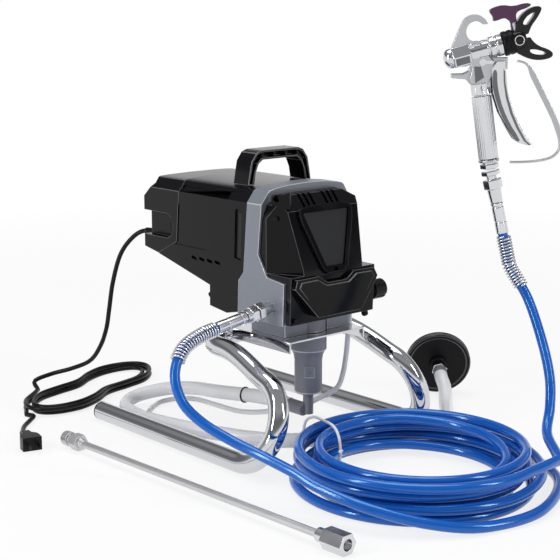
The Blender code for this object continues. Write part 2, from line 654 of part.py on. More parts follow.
def build_rear_cap():
    rear = [(HOUSING_REAR_Y - 0.0037, FRAME_TOP_Z + 0.01), (MACHINE_REAR_Y - 0.021, FRAME_TOP_Z + 0.01),
            (MACHINE_REAR_Y - 0.021, FRAME_TOP_Z - 0.016), (MACHINE_REAR_Y, FRAME_TOP_Z - 0.035),
            (MACHINE_REAR_Y, 0.236), (HOUSING_REAR_Y + 0.0445, 0.2302), (HOUSING_REAR_Y + 0.0044, 0.2504),
            (HOUSING_REAR_Y + 0.0003, 0.3002), (HOUSING_REAR_Y - 0.0037, 0.3282)]
    cap = add_object("rear_cap", outline_mesh(rear, -BODY_HALF - 0.015, BODY_HALF + 0.015, 'YZ'),
                     "black_satin")
    outline = front_outline(0.16, FRAME_TOP_Z - 0.006)
    combine(cap, outline_mesh(outline, 0.0, 0.3, 'XZ'), 'INTERSECT')
    hollow = [(0.15, FRAME_TOP_Z - 0.018), (MACHINE_REAR_Y - 0.0225, FRAME_TOP_Z - 0.022),
              (MACHINE_REAR_Y - WALL, FRAME_TOP_Z - 0.037), (MACHINE_REAR_Y - WALL, 0.241), (0.15, 0.241)]
    inside = POCKET_FLOOR_X - 0.0055
    combine(cap, outline_mesh(hollow, -inside, inside, 'YZ'), 'DIFFERENCE')
    for s in (-1, 1):
        pocket = [(MACHINE_REAR_Y + 0.01, 0.253), (MACHINE_REAR_Y + 0.01, 0.286), (0.196, 0.286),
                  (0.187, 0.281), (0.183, 0.2695), (0.187, 0.258), (0.196, 0.253)]
        near, far = sorted((s * POCKET_FLOOR_X, s * (BODY_HALF + 0.015)))
        combine(cap, outline_mesh(pocket, near, far, 'YZ'), 'DIFFERENCE')
    for k in range(-2, 3):
        slot = box_mesh((k * 0.018 - 0.005, MACHINE_REAR_Y - 0.01, 0.268),
                        (k * 0.018 + 0.005, MACHINE_REAR_Y + 0.01, 0.298))
        combine(cap, slot, 'DIFFERENCE')
    relief_hole = frame_of((RELIEF_X, MACHINE_REAR_Y - 0.01, RELIEF_Z), (0, 1, 0))
    combine(cap, rod_mesh(0.0062, 0, 0.02, 16), 'DIFFERENCE', relief_hole)
    for s, label in ((-1, "left"), (1, "right")):
        seat = frame_of((s * POCKET_FLOOR_X, BRUSH_CAP_Y, BRUSH_CAP_Z), (s, 0, 0))
        combine(cap, rod_mesh(0.0063, -0.012, 0.004, 16), 'DIFFERENCE', seat)
        turned("brush_cap_" + label, [(0, 0.0038), (BRUSH_CAP_R - 0.0010, 0.0038), (BRUSH_CAP_R, 0.0028),
                                      (BRUSH_CAP_R, GAP), (0.0060, GAP), (0.0060, -0.0050), (0, -0.0050)],
               "black_satin", seat, 16)


def both_sides(half):
    """A symmetric arch from the points of its right half, foot first: left foot, top, right foot."""
    return [(-x, z) for x, z in half] + [(x, z) for x, z in reversed(half)]


def handle_ring():
    return both_sides([(HANDLE_FOOT_HALF, FRAME_TOP_Z - 0.0125),
                       (HANDLE_FOOT_HALF - 0.004, FRAME_TOP_Z + 0.010),
                       (HANDLE_TOP_HALF + 0.004, FRAME_TOP_Z + 0.0245),
                       (HANDLE_TOP_HALF - 0.004, HANDLE_TOP_Z - 0.003),
                       (HANDLE_TOP_HALF - 0.012, HANDLE_TOP_Z)])


def build_carry_handle():
    """Broad black hoop across the top, bolted down through its two feet."""
    outer = handle_ring()
    foot = HANDLE_FOOT_HALF - HANDLE_LEG
    shoulder = HANDLE_TOP_HALF - HANDLE_LEG
    inner = both_sides([(foot, FRAME_TOP_Z - 0.0125), (foot - 0.004, FRAME_TOP_Z + 0.010),
                        (shoulder + 0.002, FRAME_TOP_Z + 0.021), (shoulder - 0.005, HANDLE_TOP_Z - HANDLE_BAR)])
    inner.reverse()
    handle = add_object("carry_handle", outline_mesh(outer + inner, HANDLE_FRONT_Y, HANDLE_REAR_Y, 'XZ'),
                        "black_satin")
    arch = front_outline(0.16, FRAME_TOP_Z - 0.004 + GAP)
    lifted = [(x, z + GAP) for x, z in arch]
    combine(handle, outline_mesh(lifted, HANDLE_FRONT_Y - 0.02, HANDLE_REAR_Y + 0.02, 'XZ'), 'DIFFERENCE')


def gear_outline(teeth, module, phase):
    pitch_r = teeth * module / 2
    tip_r = pitch_r + module * 0.85
    root_r = pitch_r - module * 1.15
    quarter = math.pi / (2 * teeth)
    points = []
    for k in range(teeth):
        centre = phase + 2 * math.pi * k / teeth
        for angle, radius in ((-1.25, root_r), (-0.45, tip_r), (0.45, tip_r), (1.25, root_r)):
            a = centre + angle * quarter
            points.append((radius * math.cos(a), radius * math.sin(a)))
    return points


def build_drive():
    """Motor, fan, reduction gears and the piston that the crank works."""
    axis = frame_of((0, 0, MOTOR_AXIS_Z), (0, 1, 0), (1, 0, 0))
    stator = add_object("motor_stator", rod_mesh(STATOR_R, STATOR_FRONT_Y, STATOR_REAR_Y, 20), "steel", axis)
    combine(stator, rod_mesh(STATOR_BORE_R, STATOR_FRONT_Y - 0.01, STATOR_REAR_Y + 0.01, 20),
            'DIFFERENCE', axis)
    gear_rear = GEAR_FRONT_Y + GEAR_WIDTH
    core_r = STATOR_BORE_R - 0.0007
    armature = turned("motor_armature", [(0, 0.172), (SHAFT_R, 0.172), (SHAFT_R, 0.161), (0.012, 0.161),
                                         (0.012, 0.147), (core_r - 0.003, 0.147), (core_r - 0.001, 0.142),
                                         (core_r, 0.142), (core_r, 0.089), (core_r - 0.003, 0.084),
                                         (SHAFT_R, 0.084), (SHAFT_R, gear_rear), (0, gear_rear)],
                      "copper", axis, 14)
    mesh_phase = math.pi / 2
    pinion = outline_mesh(gear_outline(PINION_TEETH, GEAR_MODULE, mesh_phase), GEAR_FRONT_Y,
                          gear_rear + 0.001)
    combine(armature, pinion, 'UNION', axis)
    fan_rear = FAN_FRONT_Y + FAN_WIDTH
    fan = turned("cooling_fan", [(SHAFT_R + GAP, fan_rear), (0.009, fan_rear),
                                 (0.009, FAN_FRONT_Y + 0.0025), (FAN_R, FAN_FRONT_Y + 0.0025),
                                 (FAN_R, FAN_FRONT_Y), (SHAFT_R + GAP, FAN_FRONT_Y)], "dark_grey", axis,
                 18)
    for k in range(6):
        turn = axis @ Matrix.Rotation(2 * math.pi * (k + 0.5) / 6, 4, 'Z')
        blade = box_mesh((0.0085, -0.0008, FAN_FRONT_Y + 0.001),
                         (FAN_R - 0.001, 0.0008, FAN_FRONT_Y + FAN_WIDTH - 0.002))
        combine(fan, blade, 'UNION', turn)
    crank_axis = frame_of((0, 0, crank_axis_z()), (0, 1, 0), (1, 0, 0))
    crank_phase = -math.pi / 2 + math.pi / CRANK_TEETH
    crank = add_object("crank_gear", outline_mesh(gear_outline(CRANK_TEETH, GEAR_MODULE, crank_phase),
                                                  GEAR_FRONT_Y, gear_rear), "steel", crank_axis)
    combine(crank, rod_mesh(0.006, gear_rear - 0.001, FRAME_BAND_REAR_Y - 0.0025, 12), 'UNION', crank_axis)
    pin = Matrix.Translation((CRANK_THROW, 0, 0))
    combine(crank, rod_mesh(CRANK_PIN_R, YOKE_HALF_THICKNESS + 0.0008, GEAR_FRONT_Y + 0.001, 12), 'UNION',
            crank_axis @ pin)
    piston = turned("piston_rod", [(0, 0.232), (PISTON_ROD_R, 0.232), (PISTON_ROD_R, 0.110),
                                   (PUMP_BORE_R - 0.0003, 0.110),
                                   (PUMP_BORE_R - 0.0003, 0.110 - PISTON_LENGTH),
                                   (0, 0.110 - PISTON_LENGTH)], "steel", None, 12)
    yoke = crank_axis_z()
    combine(piston, box_mesh((-0.016, -YOKE_HALF_THICKNESS, yoke - 0.0135),
                             (0.016, YOKE_HALF_THICKNESS, yoke + 0.009)), 'UNION')
    combine(piston, box_mesh((-0.0115, -0.02, yoke - 0.0043), (0.0115, 0.02, yoke + 0.0043)), 'DIFFERENCE')


def build_controls():
    """Pressure knob and prime valve on the right side, rocker switch under the motor, cord strain relief."""
    knob_axis = frame_of((BODY_HALF + GAP, KNOB_Y, KNOB_Z), (1, 0, 0))
    knob = turned("pressure_knob", [(0, KNOB_LENGTH), (KNOB_R - 0.002, KNOB_LENGTH),
                                    (KNOB_R, KNOB_LENGTH - 0.002), (KNOB_R, 0.009),
                                    (KNOB_R - 0.003, 0.007), (KNOB_R - 0.003, 0.0), (0.0038, 0.0),
                                    (0.0038, -0.007), (0, -0.007)], "black_satin", knob_axis, 16)
    for k in range(5):
        a = math.radians(72 * k)
        flute = Matrix.Translation(((KNOB_R + 0.0025) * math.cos(a), (KNOB_R + 0.0025) * math.sin(a), 0))
        combine(knob, rod_mesh(0.0042, 0.011, KNOB_LENGTH + 0.01, 10), 'DIFFERENCE', knob_axis @ flute)
    valve_axis = frame_of((BODY_HALF + GAP, VALVE_Y, VALVE_Z), (1, 0, 0))
    turned("prime_valve_body", [(0.0035, 0.009), (0.0075, 0.009), (0.009, 0.0075), (0.009, 0.0),
                                (0.006, 0.0), (0.006, -0.007), (0.0035, -0.007)], "zinc", valve_axis, 14)
    lever = turned("prime_valve_handle", [(0, 0.018), (0.007, 0.018), (0.0075, 0.0175), (0.0075, 0.0093),
                                          (0.0032, 0.0093), (0.0032, -0.005), (0, -0.005)], "black_satin",
                   valve_axis, 14)
    bar = [(-0.004, 0.003), (0.004, 0.003), (0.0035, -0.028), (0.0, -0.030), (-0.0035, -0.028)]
    tilt = Matrix.Rotation(math.radians(VALVE_REST_DEG), 4, 'Z')
    combine(lever, outline_mesh(bar, 0.011, 0.0165), 'UNION', valve_axis @ tilt)
    pivot = Matrix.Translation((0.0, SWITCH_Y, SWITCH_Z))
    half = SWITCH_HALF_HEIGHT
    rocker = [(-0.0035, -half), (0.0035, -half), (0.0058, 0.0018 - half), (0.0040, 0.0),
              (0.0075, half - 0.0018), (0.0045, half), (-0.0035, half)]
    across = SWITCH_HALF_WIDTH - 0.0004
    add_object("power_switch", outline_mesh(rocker, -across, across, 'YZ'), "black_gloss", pivot)
    relief_axis = frame_of((RELIEF_X, MACHINE_REAR_Y, RELIEF_Z), (0, 1, 0))
    turned("strain_relief", [(CORD_R + 0.0008, 0.030), (0.0048, 0.028), (0.0068, 0.004), (0.0085, 0.003),
                             (0.0085, GAP), (0.0059, GAP), (0.0059, -0.002), (CORD_R + 0.0004, -0.002)],
           "black_satin", relief_axis, 14)


def build_outlet_fittings():
    place = frame_of(OUTLET_BASE, OUTLET_DIR)
    nipple = turned("outlet_nipple", [(0, 0.0255), (0.006, 0.0255), (0.0072, 0.0245), (0.0072, -0.010),
                                      (0, -0.010)], "zinc", place, 16)
    combine(nipple, rod_mesh(0.0115, 0.0140, 0.0240, 6), 'UNION', place)
    swivel = add_object("hose_swivel_nut", rod_mesh(0.0108, 0.0258, 0.0350, 6), "zinc", place)
    combine(swivel, rod_mesh(0.0088, 0.0345, 0.0420, 16), 'UNION', place)
    turned("hose_ferrule_machine", [(0, 0.0870), (FERRULE_R - 0.0008, 0.0870), (FERRULE_R, 0.0862),
                                    (FERRULE_R, 0.0433), (FERRULE_R - 0.001, 0.0423), (0, 0.0423)],
           "zinc", place, 16)


def coil_points():
    rise = 2 * HOSE_R + 0.0006
    route = wound_route(HOSE_COIL_TURNS, HOSE_COIL_LAYERS, HOSE_COIL_OUTER_R, HOSE_COIL_OUTER_R,
                        HOSE_COIL_OUTER_R - HOSE_COIL_INNER_R, rise, 0.0, HOSE_COIL_START_DEG)
    base = HOSE_COIL_CENTRE + Vector((0, 0, HOSE_R + GAP))
    return [base + p for p in route]


def straight_ends(points, length):
    """Adds a straight run to both ends of a wound route."""
    first = points[0] + (points[0] - points[1]).normalized() * length
    last = points[-1] + (points[-1] - points[-2]).normalized() * length
    return [first] + points + [last]


def on_coil(angle_deg, radius, z):
    a = math.radians(angle_deg)
    return HOSE_COIL_CENTRE + Vector((radius * math.cos(a), radius * math.sin(a), z))


def build_paint_hose():
    """Blue hose: from the outlet down to the coil, the coil itself, and up to the gun."""
    wound = straight_ends(coil_points(), 2 * HOSE_R)
    tube("hose_coil", wound, HOSE_R, "hose_blue", 1)
    print("hose coil least self gap mm",
          round(1000 * least_self_gap(coil_points(), HOSE_R, LOOP_POINTS // 2), 2))
    start = OUTLET_BASE + OUTLET_DIR * 0.0873
    into = (wound[1] - wound[0]).normalized()
    coil_in = wound[0] - into * GAP
    knots = [start, start + OUTLET_DIR * 0.020, Vector((-0.2140, -0.0150, 0.1640)),
             Vector((-0.2330, -0.0230, 0.1380)), Vector((-0.2330, -0.0370, 0.1080)),
             Vector((-0.2210, -0.0580, 0.0860)), Vector((-0.2060, -0.0880, 0.0700)),
             Vector((-0.1930, -0.1280, 0.0580)), Vector((-0.1850, -0.1750, 0.0480)),
             on_coil(183, 0.1700, 0.0385), on_coil(205, 0.1680, 0.0270), on_coil(228, 0.1675, 0.0145),
             on_coil(250, 0.1675, LEAD_Z), on_coil(280, 0.1675, LEAD_Z), on_coil(320, 0.1675, LEAD_Z),
             on_coil(360, 0.1675, LEAD_Z), on_coil(395, 0.1670, LEAD_Z), coil_in - into * 0.030, coil_in]
    run_in = smooth_route(knots, 0.028, GUARD_LENGTH, 0.011)
    tube("hose_run_machine", run_in, HOSE_R, "hose_blue", 1)
    guard_path = walk(smooth_route(knots, 0.002), 0.001, GUARD_LENGTH)
    wire = helix_around(guard_path, SPRING_COIL_R, SPRING_PITCH, SPRING_POINTS, SPRING_WIRE_R)
    tube("hose_guard_machine", wire, SPRING_WIRE_R, "zinc", 1)
    print("machine guard least self gap mm", round(1000 * least_self_gap(wire, SPRING_WIRE_R, 5), 2))

    out = (wound[-1] - wound[-2]).normalized()
    coil_out = wound[-1] + out * GAP
    ferrule_foot = gun_matrix() @ HOSE_END
    down = ferrule_foot - gun_matrix() @ (HOSE_END + hose_end_dir())
    knots_out = [coil_out, coil_out + out * 0.035, Vector((0.1180, -0.2920, 0.0560)),
                 Vector((0.1430, -0.2760, 0.0800)), Vector((0.1540, -0.2660, 0.1120)),
                 Vector((0.1650, -0.2450, 0.1500)), Vector((0.1740, -0.2130, 0.2000)),
                 ferrule_foot + down * 0.040, ferrule_foot + down * GAP]
    knots_out.reverse()
    run_out = smooth_route(knots_out, 0.026, GUARD_LENGTH, 0.011)
    tube("hose_run_gun", run_out, HOSE_R, "hose_blue", 1)
    guard_path = walk(smooth_route(knots_out, 0.002), 0.001, GUARD_LENGTH)
    wire = helix_around(guard_path, SPRING_COIL_R, SPRING_PITCH, SPRING_POINTS, SPRING_WIRE_R)
    tube("hose_guard_gun", wire, SPRING_WIRE_R, "zinc", 1)
    print("gun guard least self gap mm", round(1000 * least_self_gap(wire, SPRING_WIRE_R, 5), 2))
    length = route_length(run_in) + route_length(wound) + route_length(run_out)
    print("paint hose length m", round(length, 3))


def walk(points, start, length):
    """The stretch of a route from start metres along it."""
    fine = even_points(points, 0.0005)
    first = round(start / 0.0005)
    return fine[first:first + round(length / 0.0005) + 1]


def gun_matrix():
    yaw = math.radians(GUN_YAW_DEG)
    u = Vector((math.cos(yaw), math.sin(yaw), 0.0))
    v = Vector((0.0, 0.0, 1.0))
    w = u.cross(v)
    return Matrix.Translation(GUN_ORIGIN) @ Matrix((u, v, w)).transposed().to_4x4()


def in_gun(origin, z_axis, x_hint=(0.0, 0.0, 1.0)):
    """Placement given in the gun's own axes."""
    return gun_matrix() @ frame_of(origin, z_axis, x_hint)


def nozzle_dir():
    a = math.radians(NOZZLE_TILT_DEG)
    return Vector((math.cos(a), math.sin(a), 0.0))


def grip_dir():
    a = math.radians(HANDLE_TILT_DEG)
    return Vector((math.sin(a), -math.cos(a), 0.0))


def grip_end():
    """Tip of the grip's stub, in the gun's own axes."""
    return GRIP_TOP + grip_dir() * (GRIP_LENGTH + GRIP_STUB)


def hose_end_dir():
    return (grip_end() - HOSE_END).normalized()


def build_gun_hose_end():
    reach = (grip_end() - HOSE_END).length
    axis = in_gun(HOSE_END, hose_end_dir())
    turned("hose_ferrule_gun", [(0, FERRULE_LENGTH), (FERRULE_R - 0.0008, FERRULE_LENGTH),
                                (FERRULE_R, FERRULE_LENGTH - 0.0008), (FERRULE_R, 0.0008),
                                (FERRULE_R - 0.0008, 0), (0, 0)], "zinc", axis, 16)
    swivel = add_object("hose_nut_gun",
                        rod_mesh(0.0104, FERRULE_LENGTH + GAP, FERRULE_LENGTH + 0.0150, 6), "zinc", axis)
    combine(swivel, rod_mesh(0.0078, FERRULE_LENGTH + 0.0145, FERRULE_LENGTH + 0.0230, 16), 'UNION', axis)
    combine(swivel, rod_mesh(0.0060, FERRULE_LENGTH + 0.0225, reach - 0.0022, 16), 'UNION', axis)


def build_gun():
    """Cast aluminium gun with its fluted grip, trigger, hook, guard strap and reversible tip."""
    matrix = gun_matrix()
    body = [(-0.0368, 0.0110), (-0.0305, 0.0250), (-0.0225, 0.0440), (-0.0150, 0.0530), (-0.0051, 0.0573),
            (0.0040, 0.0545), (0.0100, 0.0467), (0.0060, 0.0435), (-0.0010, 0.0480), (-0.0090, 0.0465),
            (-0.0150, 0.0400), (-0.0150, 0.0310), (-0.0092, 0.0256), (0.0012, 0.0244), (0.0100, 0.0275),
            (0.0160, 0.0270), (0.0235, 0.0020), (0.0190, -0.0050), (0.0125, -0.0260), (0.0120, -0.0305),
            (-0.0100, -0.0275), (-0.0135, -0.0190), (-0.0329, -0.0175), (-0.0335, -0.0145),
            (-0.0303, -0.0128)]
    gun = add_object("gun_body", outline_mesh(body, -0.0075, 0.0075), "aluminium", matrix)
    along = in_gun(NOZZLE_BASE, nozzle_dir())
    combine(gun, rod_mesh(0.0140, -0.0355, -0.0125, 6), 'UNION', along)
    combine(gun, rod_mesh(0.0050, -0.0450, -0.0350, 16, 0.0095), 'UNION', along)
    combine(gun, rod_mesh(0.0115, -0.0125, 0.0120, 16), 'UNION', along)
    combine(gun, rod_mesh(DIFFUSER_R, 0.0115, 0.0270, 16), 'UNION', along)
    combine(gun, rod_mesh(0.0025, -0.0275, 0.0400, 12), 'DIFFERENCE', along)
    combine(gun, rod_mesh(LOCK_PIN_R + 0.0004, 0.0020, 0.0200, 12), 'DIFFERENCE',
            matrix @ Matrix.Translation(LOCK_PIVOT))
    collar = in_gun(GRIP_TOP, -grip_dir())
    combine(gun, rod_mesh(0.0118, GAP, 0.0170, 16), 'UNION', collar)
    combine(gun, box_mesh((0.0200, -0.0110, -0.0030), (0.0330, 0.0010, 0.0030)), 'UNION', matrix)

    grip = in_gun(GRIP_TOP, grip_dir())
    handle = turned("gun_grip", [(0, GRIP_LENGTH + GRIP_STUB), (0.0068, GRIP_LENGTH + GRIP_STUB),
                                 (0.0068, GRIP_LENGTH), (GRIP_R - 0.001, GRIP_LENGTH),
                                 (GRIP_R, GRIP_LENGTH - 0.001), (GRIP_R, 0.001), (GRIP_R - 0.001, 0),
                                 (0, 0)], "aluminium", grip, 16)
    combine(handle, rod_mesh(0.0120, GRIP_LENGTH + 0.0010, GRIP_LENGTH + GRIP_STUB - 0.0015, 6), 'UNION',
            grip)

    along_front = 0.0275
    turned("tip_collar", [(0.0105, 0.0135 + along_front), (0.0140, 0.0135 + along_front),
                          (TIP_COLLAR_R, 0.012 + along_front), (TIP_COLLAR_R, 0.001 + along_front),
                          (0.0140, along_front), (0.0105, along_front)], "black_satin", along, 16)
    guard_front = along_front + 0.0135 + GAP
    guard = turned("tip_guard", [(0, guard_front + 0.0150), (0.0085, guard_front + 0.0150),
                                 (0.0105, guard_front + 0.0120), (0.0125, guard_front + 0.001),
                                 (0.0120, guard_front), (0.0100, guard_front),
                                 (0.0100, along_front + 0.001), (0, along_front + 0.001)], "black_satin",
                   along, 16)
    for s in (-1, 1):
        ear = [(guard_front + 0.004, s * 0.006), (guard_front + 0.014, s * 0.004),
               (guard_front + 0.024, s * 0.012), (guard_front + 0.0455, s * 0.0255),
               (guard_front + 0.0460, s * 0.0300), (guard_front + 0.0400, s * 0.0335),
               (guard_front + 0.018, s * 0.024), (guard_front + 0.004, s * 0.012)]
        window = [(guard_front + 0.0190, s * 0.0130), (guard_front + 0.0385, s * 0.0262),
                  (guard_front + 0.0350, s * 0.0285), (guard_front + 0.0175, s * 0.0195)]
        combine(guard, outline_mesh(ear, -0.0070, 0.0070), 'UNION', matrix @ nozzle_frame())
        combine(guard, outline_mesh(window, -0.02, 0.02), 'DIFFERENCE', matrix @ nozzle_frame())
    bore_at = guard_front + 0.0055
    tip_axis = matrix @ nozzle_frame() @ frame_of((bore_at, 0, 0), (0, 1, 0), (0, 0, 1))
    combine(guard, rod_mesh(0.0043, -0.0100, 0.03, 14), 'DIFFERENCE', tip_axis)
    combine(guard, rod_mesh(0.0018, 0.0, 0.1, 10), 'DIFFERENCE', along)

    tip = turned("spray_tip", [(0, 0.024), (0.0035, 0.024), (0.0040, 0.0235), (0.0040, -0.0085),
                               (0, -0.0085)], "steel", tip_axis, 14)
    flag = [(-0.0040, 0.0190), (0.0035, 0.0190), (0.0080, 0.0341), (0.0292, 0.0385), (0.0270, 0.0420),
            (0.0227, 0.0430), (0.0075, 0.0424), (-0.0061, 0.0476), (-0.0234, 0.0447), (-0.0201, 0.0316),
            (-0.0062, 0.0324)]
    combine(tip, outline_mesh([(x, y) for x, y in flag], -0.0030, 0.0030), 'UNION',
            matrix @ nozzle_frame() @ Matrix.Translation((bore_at, 0, 0)))

    turned("needle", [(0, 0.0220), (0.0008, 0.0210), (0.0020, 0.0190), (0.0020, -0.0240), (0, -0.0240)],
           "steel", along, 10)

    pivot = matrix @ Matrix.Translation(TRIGGER_PIVOT)
    blade = [(-0.0125, -0.0050), (-0.0100, -0.0340), (-0.0015, -0.0580), (0.0100, -0.0780),
             (0.0215, -0.0935), (0.0330, -0.0970), (0.0400, -0.0965), (0.0300, -0.0840),
             (0.0170, -0.0600), (0.0080, -0.0340), (0.0045, -0.0060), (0.0030, 0.0040), (-0.0060, 0.0040)]
    trigger = add_object("trigger", outline_mesh(blade, -0.0120, 0.0120), "aluminium", pivot)
    channel = [(-0.0200, 0.0100), (0.0100, 0.0100), (0.0100, -0.0120), (0.0052, -0.0340),
               (0.0142, -0.0600), (0.0268, -0.0830), (0.0330, -0.0920), (0.0330, -0.1100),
               (-0.0400, -0.1100)]
    combine(trigger, outline_mesh(channel, -0.0095, 0.0095), 'DIFFERENCE', pivot)
    pin = pivot
    combine(trigger, rod_mesh(0.0016, -0.0110, 0.0110, 10), 'UNION', pin)
    combine(gun, rod_mesh(0.0019, -0.02, 0.02, 12), 'DIFFERENCE', pin)


def nozzle_frame():
    return Matrix.Translation(NOZZLE_BASE) @ Matrix.Rotation(math.radians(NOZZLE_TILT_DEG), 4, 'Z')


def build_gun_fittings():
    """Strap that guards the trigger and the lever that locks it."""
    matrix = gun_matrix()
    seat = grip_end() - grip_dir() * 0.0090
    strap = [(0.0350, 0.0012), (0.0450, 0.0005), (0.0560, -0.0018), (0.0640, -0.0075), (0.0700, -0.0180),
             (0.0765, -0.0330), (0.0870, -0.0520), (0.0960, -0.0700), (0.1015, seat.y + 0.0379),
             (0.1020, seat.y + 0.0249), (0.0975, seat.y + 0.0129), (0.0880, seat.y + 0.0054),
             (0.0740, seat.y + 0.0024), (0.0560, seat.y + 0.0014), (seat.x + 0.0276, seat.y + 0.0015),
             (seat.x + 0.0136, seat.y + 0.0019)]
    guard = tube_mesh("trigger_guard", [matrix @ Vector((u, v, 0)) for u, v in strap], 0.0022, "zinc", 2)
    combine(guard, rod_mesh(0.0148, -0.0022, 0.0022, 24), 'UNION', in_gun(seat, grip_dir()))
    combine(guard, rod_mesh(0.0123, -0.0100, 0.0100, 24), 'DIFFERENCE', in_gun(seat, grip_dir()))
    combine(guard, outline_mesh([(0.0335, -0.0030), (0.0390, -0.0030), (0.0390, 0.0045), (0.0335, 0.0020)],
                                -0.0030, 0.0030), 'UNION', matrix)
    lock = matrix @ Matrix.Translation((*LOCK_PIVOT.xy, 0.0))
    lever = add_object("trigger_lock", rod_mesh(0.0043, 0.0078, 0.0098, 16), "zinc", lock)
    combine(lever, rod_mesh(LOCK_PIN_R, 0.0030, 0.0085, 12), 'UNION', lock)
    arm = [(0.0, -0.0020), (0.0118, -0.0020), (0.0135, 0.0), (0.0118, 0.0020), (0.0, 0.0020)]
    combine(lever, outline_mesh(arm, 0.0079, 0.0092), 'UNION', lock)


def build_suction_set():
    """Milky suction hose with its filter, and the thin return tube that runs beside it."""
    start = Vector((INLET_X, INLET_REAR_Y + GAP, INLET_Z))
    hub_end = FILTER_FACE - FILTER_DIR * (FILTER_HUB_LENGTH + 2 * GAP)
    knots = [start, (-0.0060, 0.0550, 0.0455), (-0.0080, 0.0850, 0.0445), (-0.0160, 0.1200, 0.0420),
             (-0.0200, 0.1650, 0.0370), (-0.0170, 0.2150, 0.0300), (-0.0350, 0.2560, 0.0240),
             (-0.0720, 0.2800, 0.0150), (-0.1020, 0.2620, 0.0100), (-0.1140, 0.2150, SUCTION_Z),
             (-0.1080, 0.1650, SUCTION_Z), (-0.0980, 0.1250, SUCTION_Z), (-0.0820, 0.0800, SUCTION_Z),
             (-0.0620, 0.0350, SUCTION_Z), (-0.0350, 0.0000, SUCTION_Z), (0.0050, -0.0240, SUCTION_Z),
             (0.0500, -0.0310, SUCTION_Z), (0.0850, -0.0430, SUCTION_Z), (0.1120, -0.0620, SUCTION_Z),
             (0.1430, -0.0875, SUCTION_Z), (0.1780, -0.0790, SUCTION_Z), (0.2105, -0.0527, SUCTION_Z),
             (0.2347, -0.0297, 0.0130), (0.2544, -0.0102, 0.0265), hub_end - FILTER_DIR * 0.018, hub_end]
    route = smooth_route(knots, 0.024)
    tube("suction_hose", route, SUCTION_HOSE_R, "clear_hose", 2)
    print("suction hose length m", round(route_length(route), 3))
    axis = frame_of(FILTER_FACE, FILTER_DIR)
    turned("filter_nut", [(0, -GAP), (0.0098, -GAP), (0.0108, -0.0015), (0.0108, -FILTER_HUB_LENGTH + 0.001),
                          (0.0098, -FILTER_HUB_LENGTH), (0, -FILTER_HUB_LENGTH)], "chrome", axis, 16)
    turned("suction_filter", [(0, 0.015), (FILTER_R * 0.7, 0.015), (FILTER_R - 0.003, 0.0135),
                              (FILTER_R, 0.0105), (FILTER_R, 0.0012), (FILTER_R - 0.0012, 0), (0, 0)],
           "black_satin", axis, 32)
    back = [(0.0715, -0.0020, FRAME_BASE_Z - GAP), (0.0715, -0.0020, 0.1500), (0.0705, -0.0006, 0.1326),
            (0.0667, -0.0011, 0.1050), (0.0583, -0.0030, 0.0787), (0.0480, -0.0010, 0.0624),
            (0.0245, 0.0125, 0.0495), (0.0165, 0.0300, 0.0360), (0.0125, 0.0600, 0.0300),
            (0.0110, 0.1000, 0.0160), (0.0090, 0.1500, 0.0060), (0.0080, 0.2050, 0.0042),
            (0.0050, 0.2400, 0.0042), (-0.0120, 0.2600, 0.0042), (-0.0400, 0.2630, 0.0042),
            (-0.0650, 0.2500, 0.0042), (-0.0800, 0.2380, 0.0042)]
    route = smooth_route(back, 0.0155)
    tube("return_tube", route, RETURN_TUBE_R, "clear_hose", 1)
    print("return tube length m", round(route_length(route), 3))
    ring_at = Vector((0.0365, 0.0056, 0.0550))
    nearest = min(range(1, len(route) - 1), key=lambda k: (route[k] - ring_at).length)
    along = (route[nearest + 1] - route[nearest - 1]).normalized()
    across = frame_of(route[nearest], along, (0, 0, 1))
    loop = []
    for k in range(0, 11):
        a = math.radians(28 * k)
        loop.append(across @ Vector((0.0047 * math.cos(a), 0.0047 * math.sin(a), 0)))
    rise = loop[0] - route[nearest]
    top = loop[0] + rise.normalized() * 0.013
    hook = [top + Vector((-0.0016, 0.0, 0.0015)), top, loop[0] + rise.normalized() * 0.004]
    tube("tube_clip", hook + loop, 0.0007, "steel", 1)


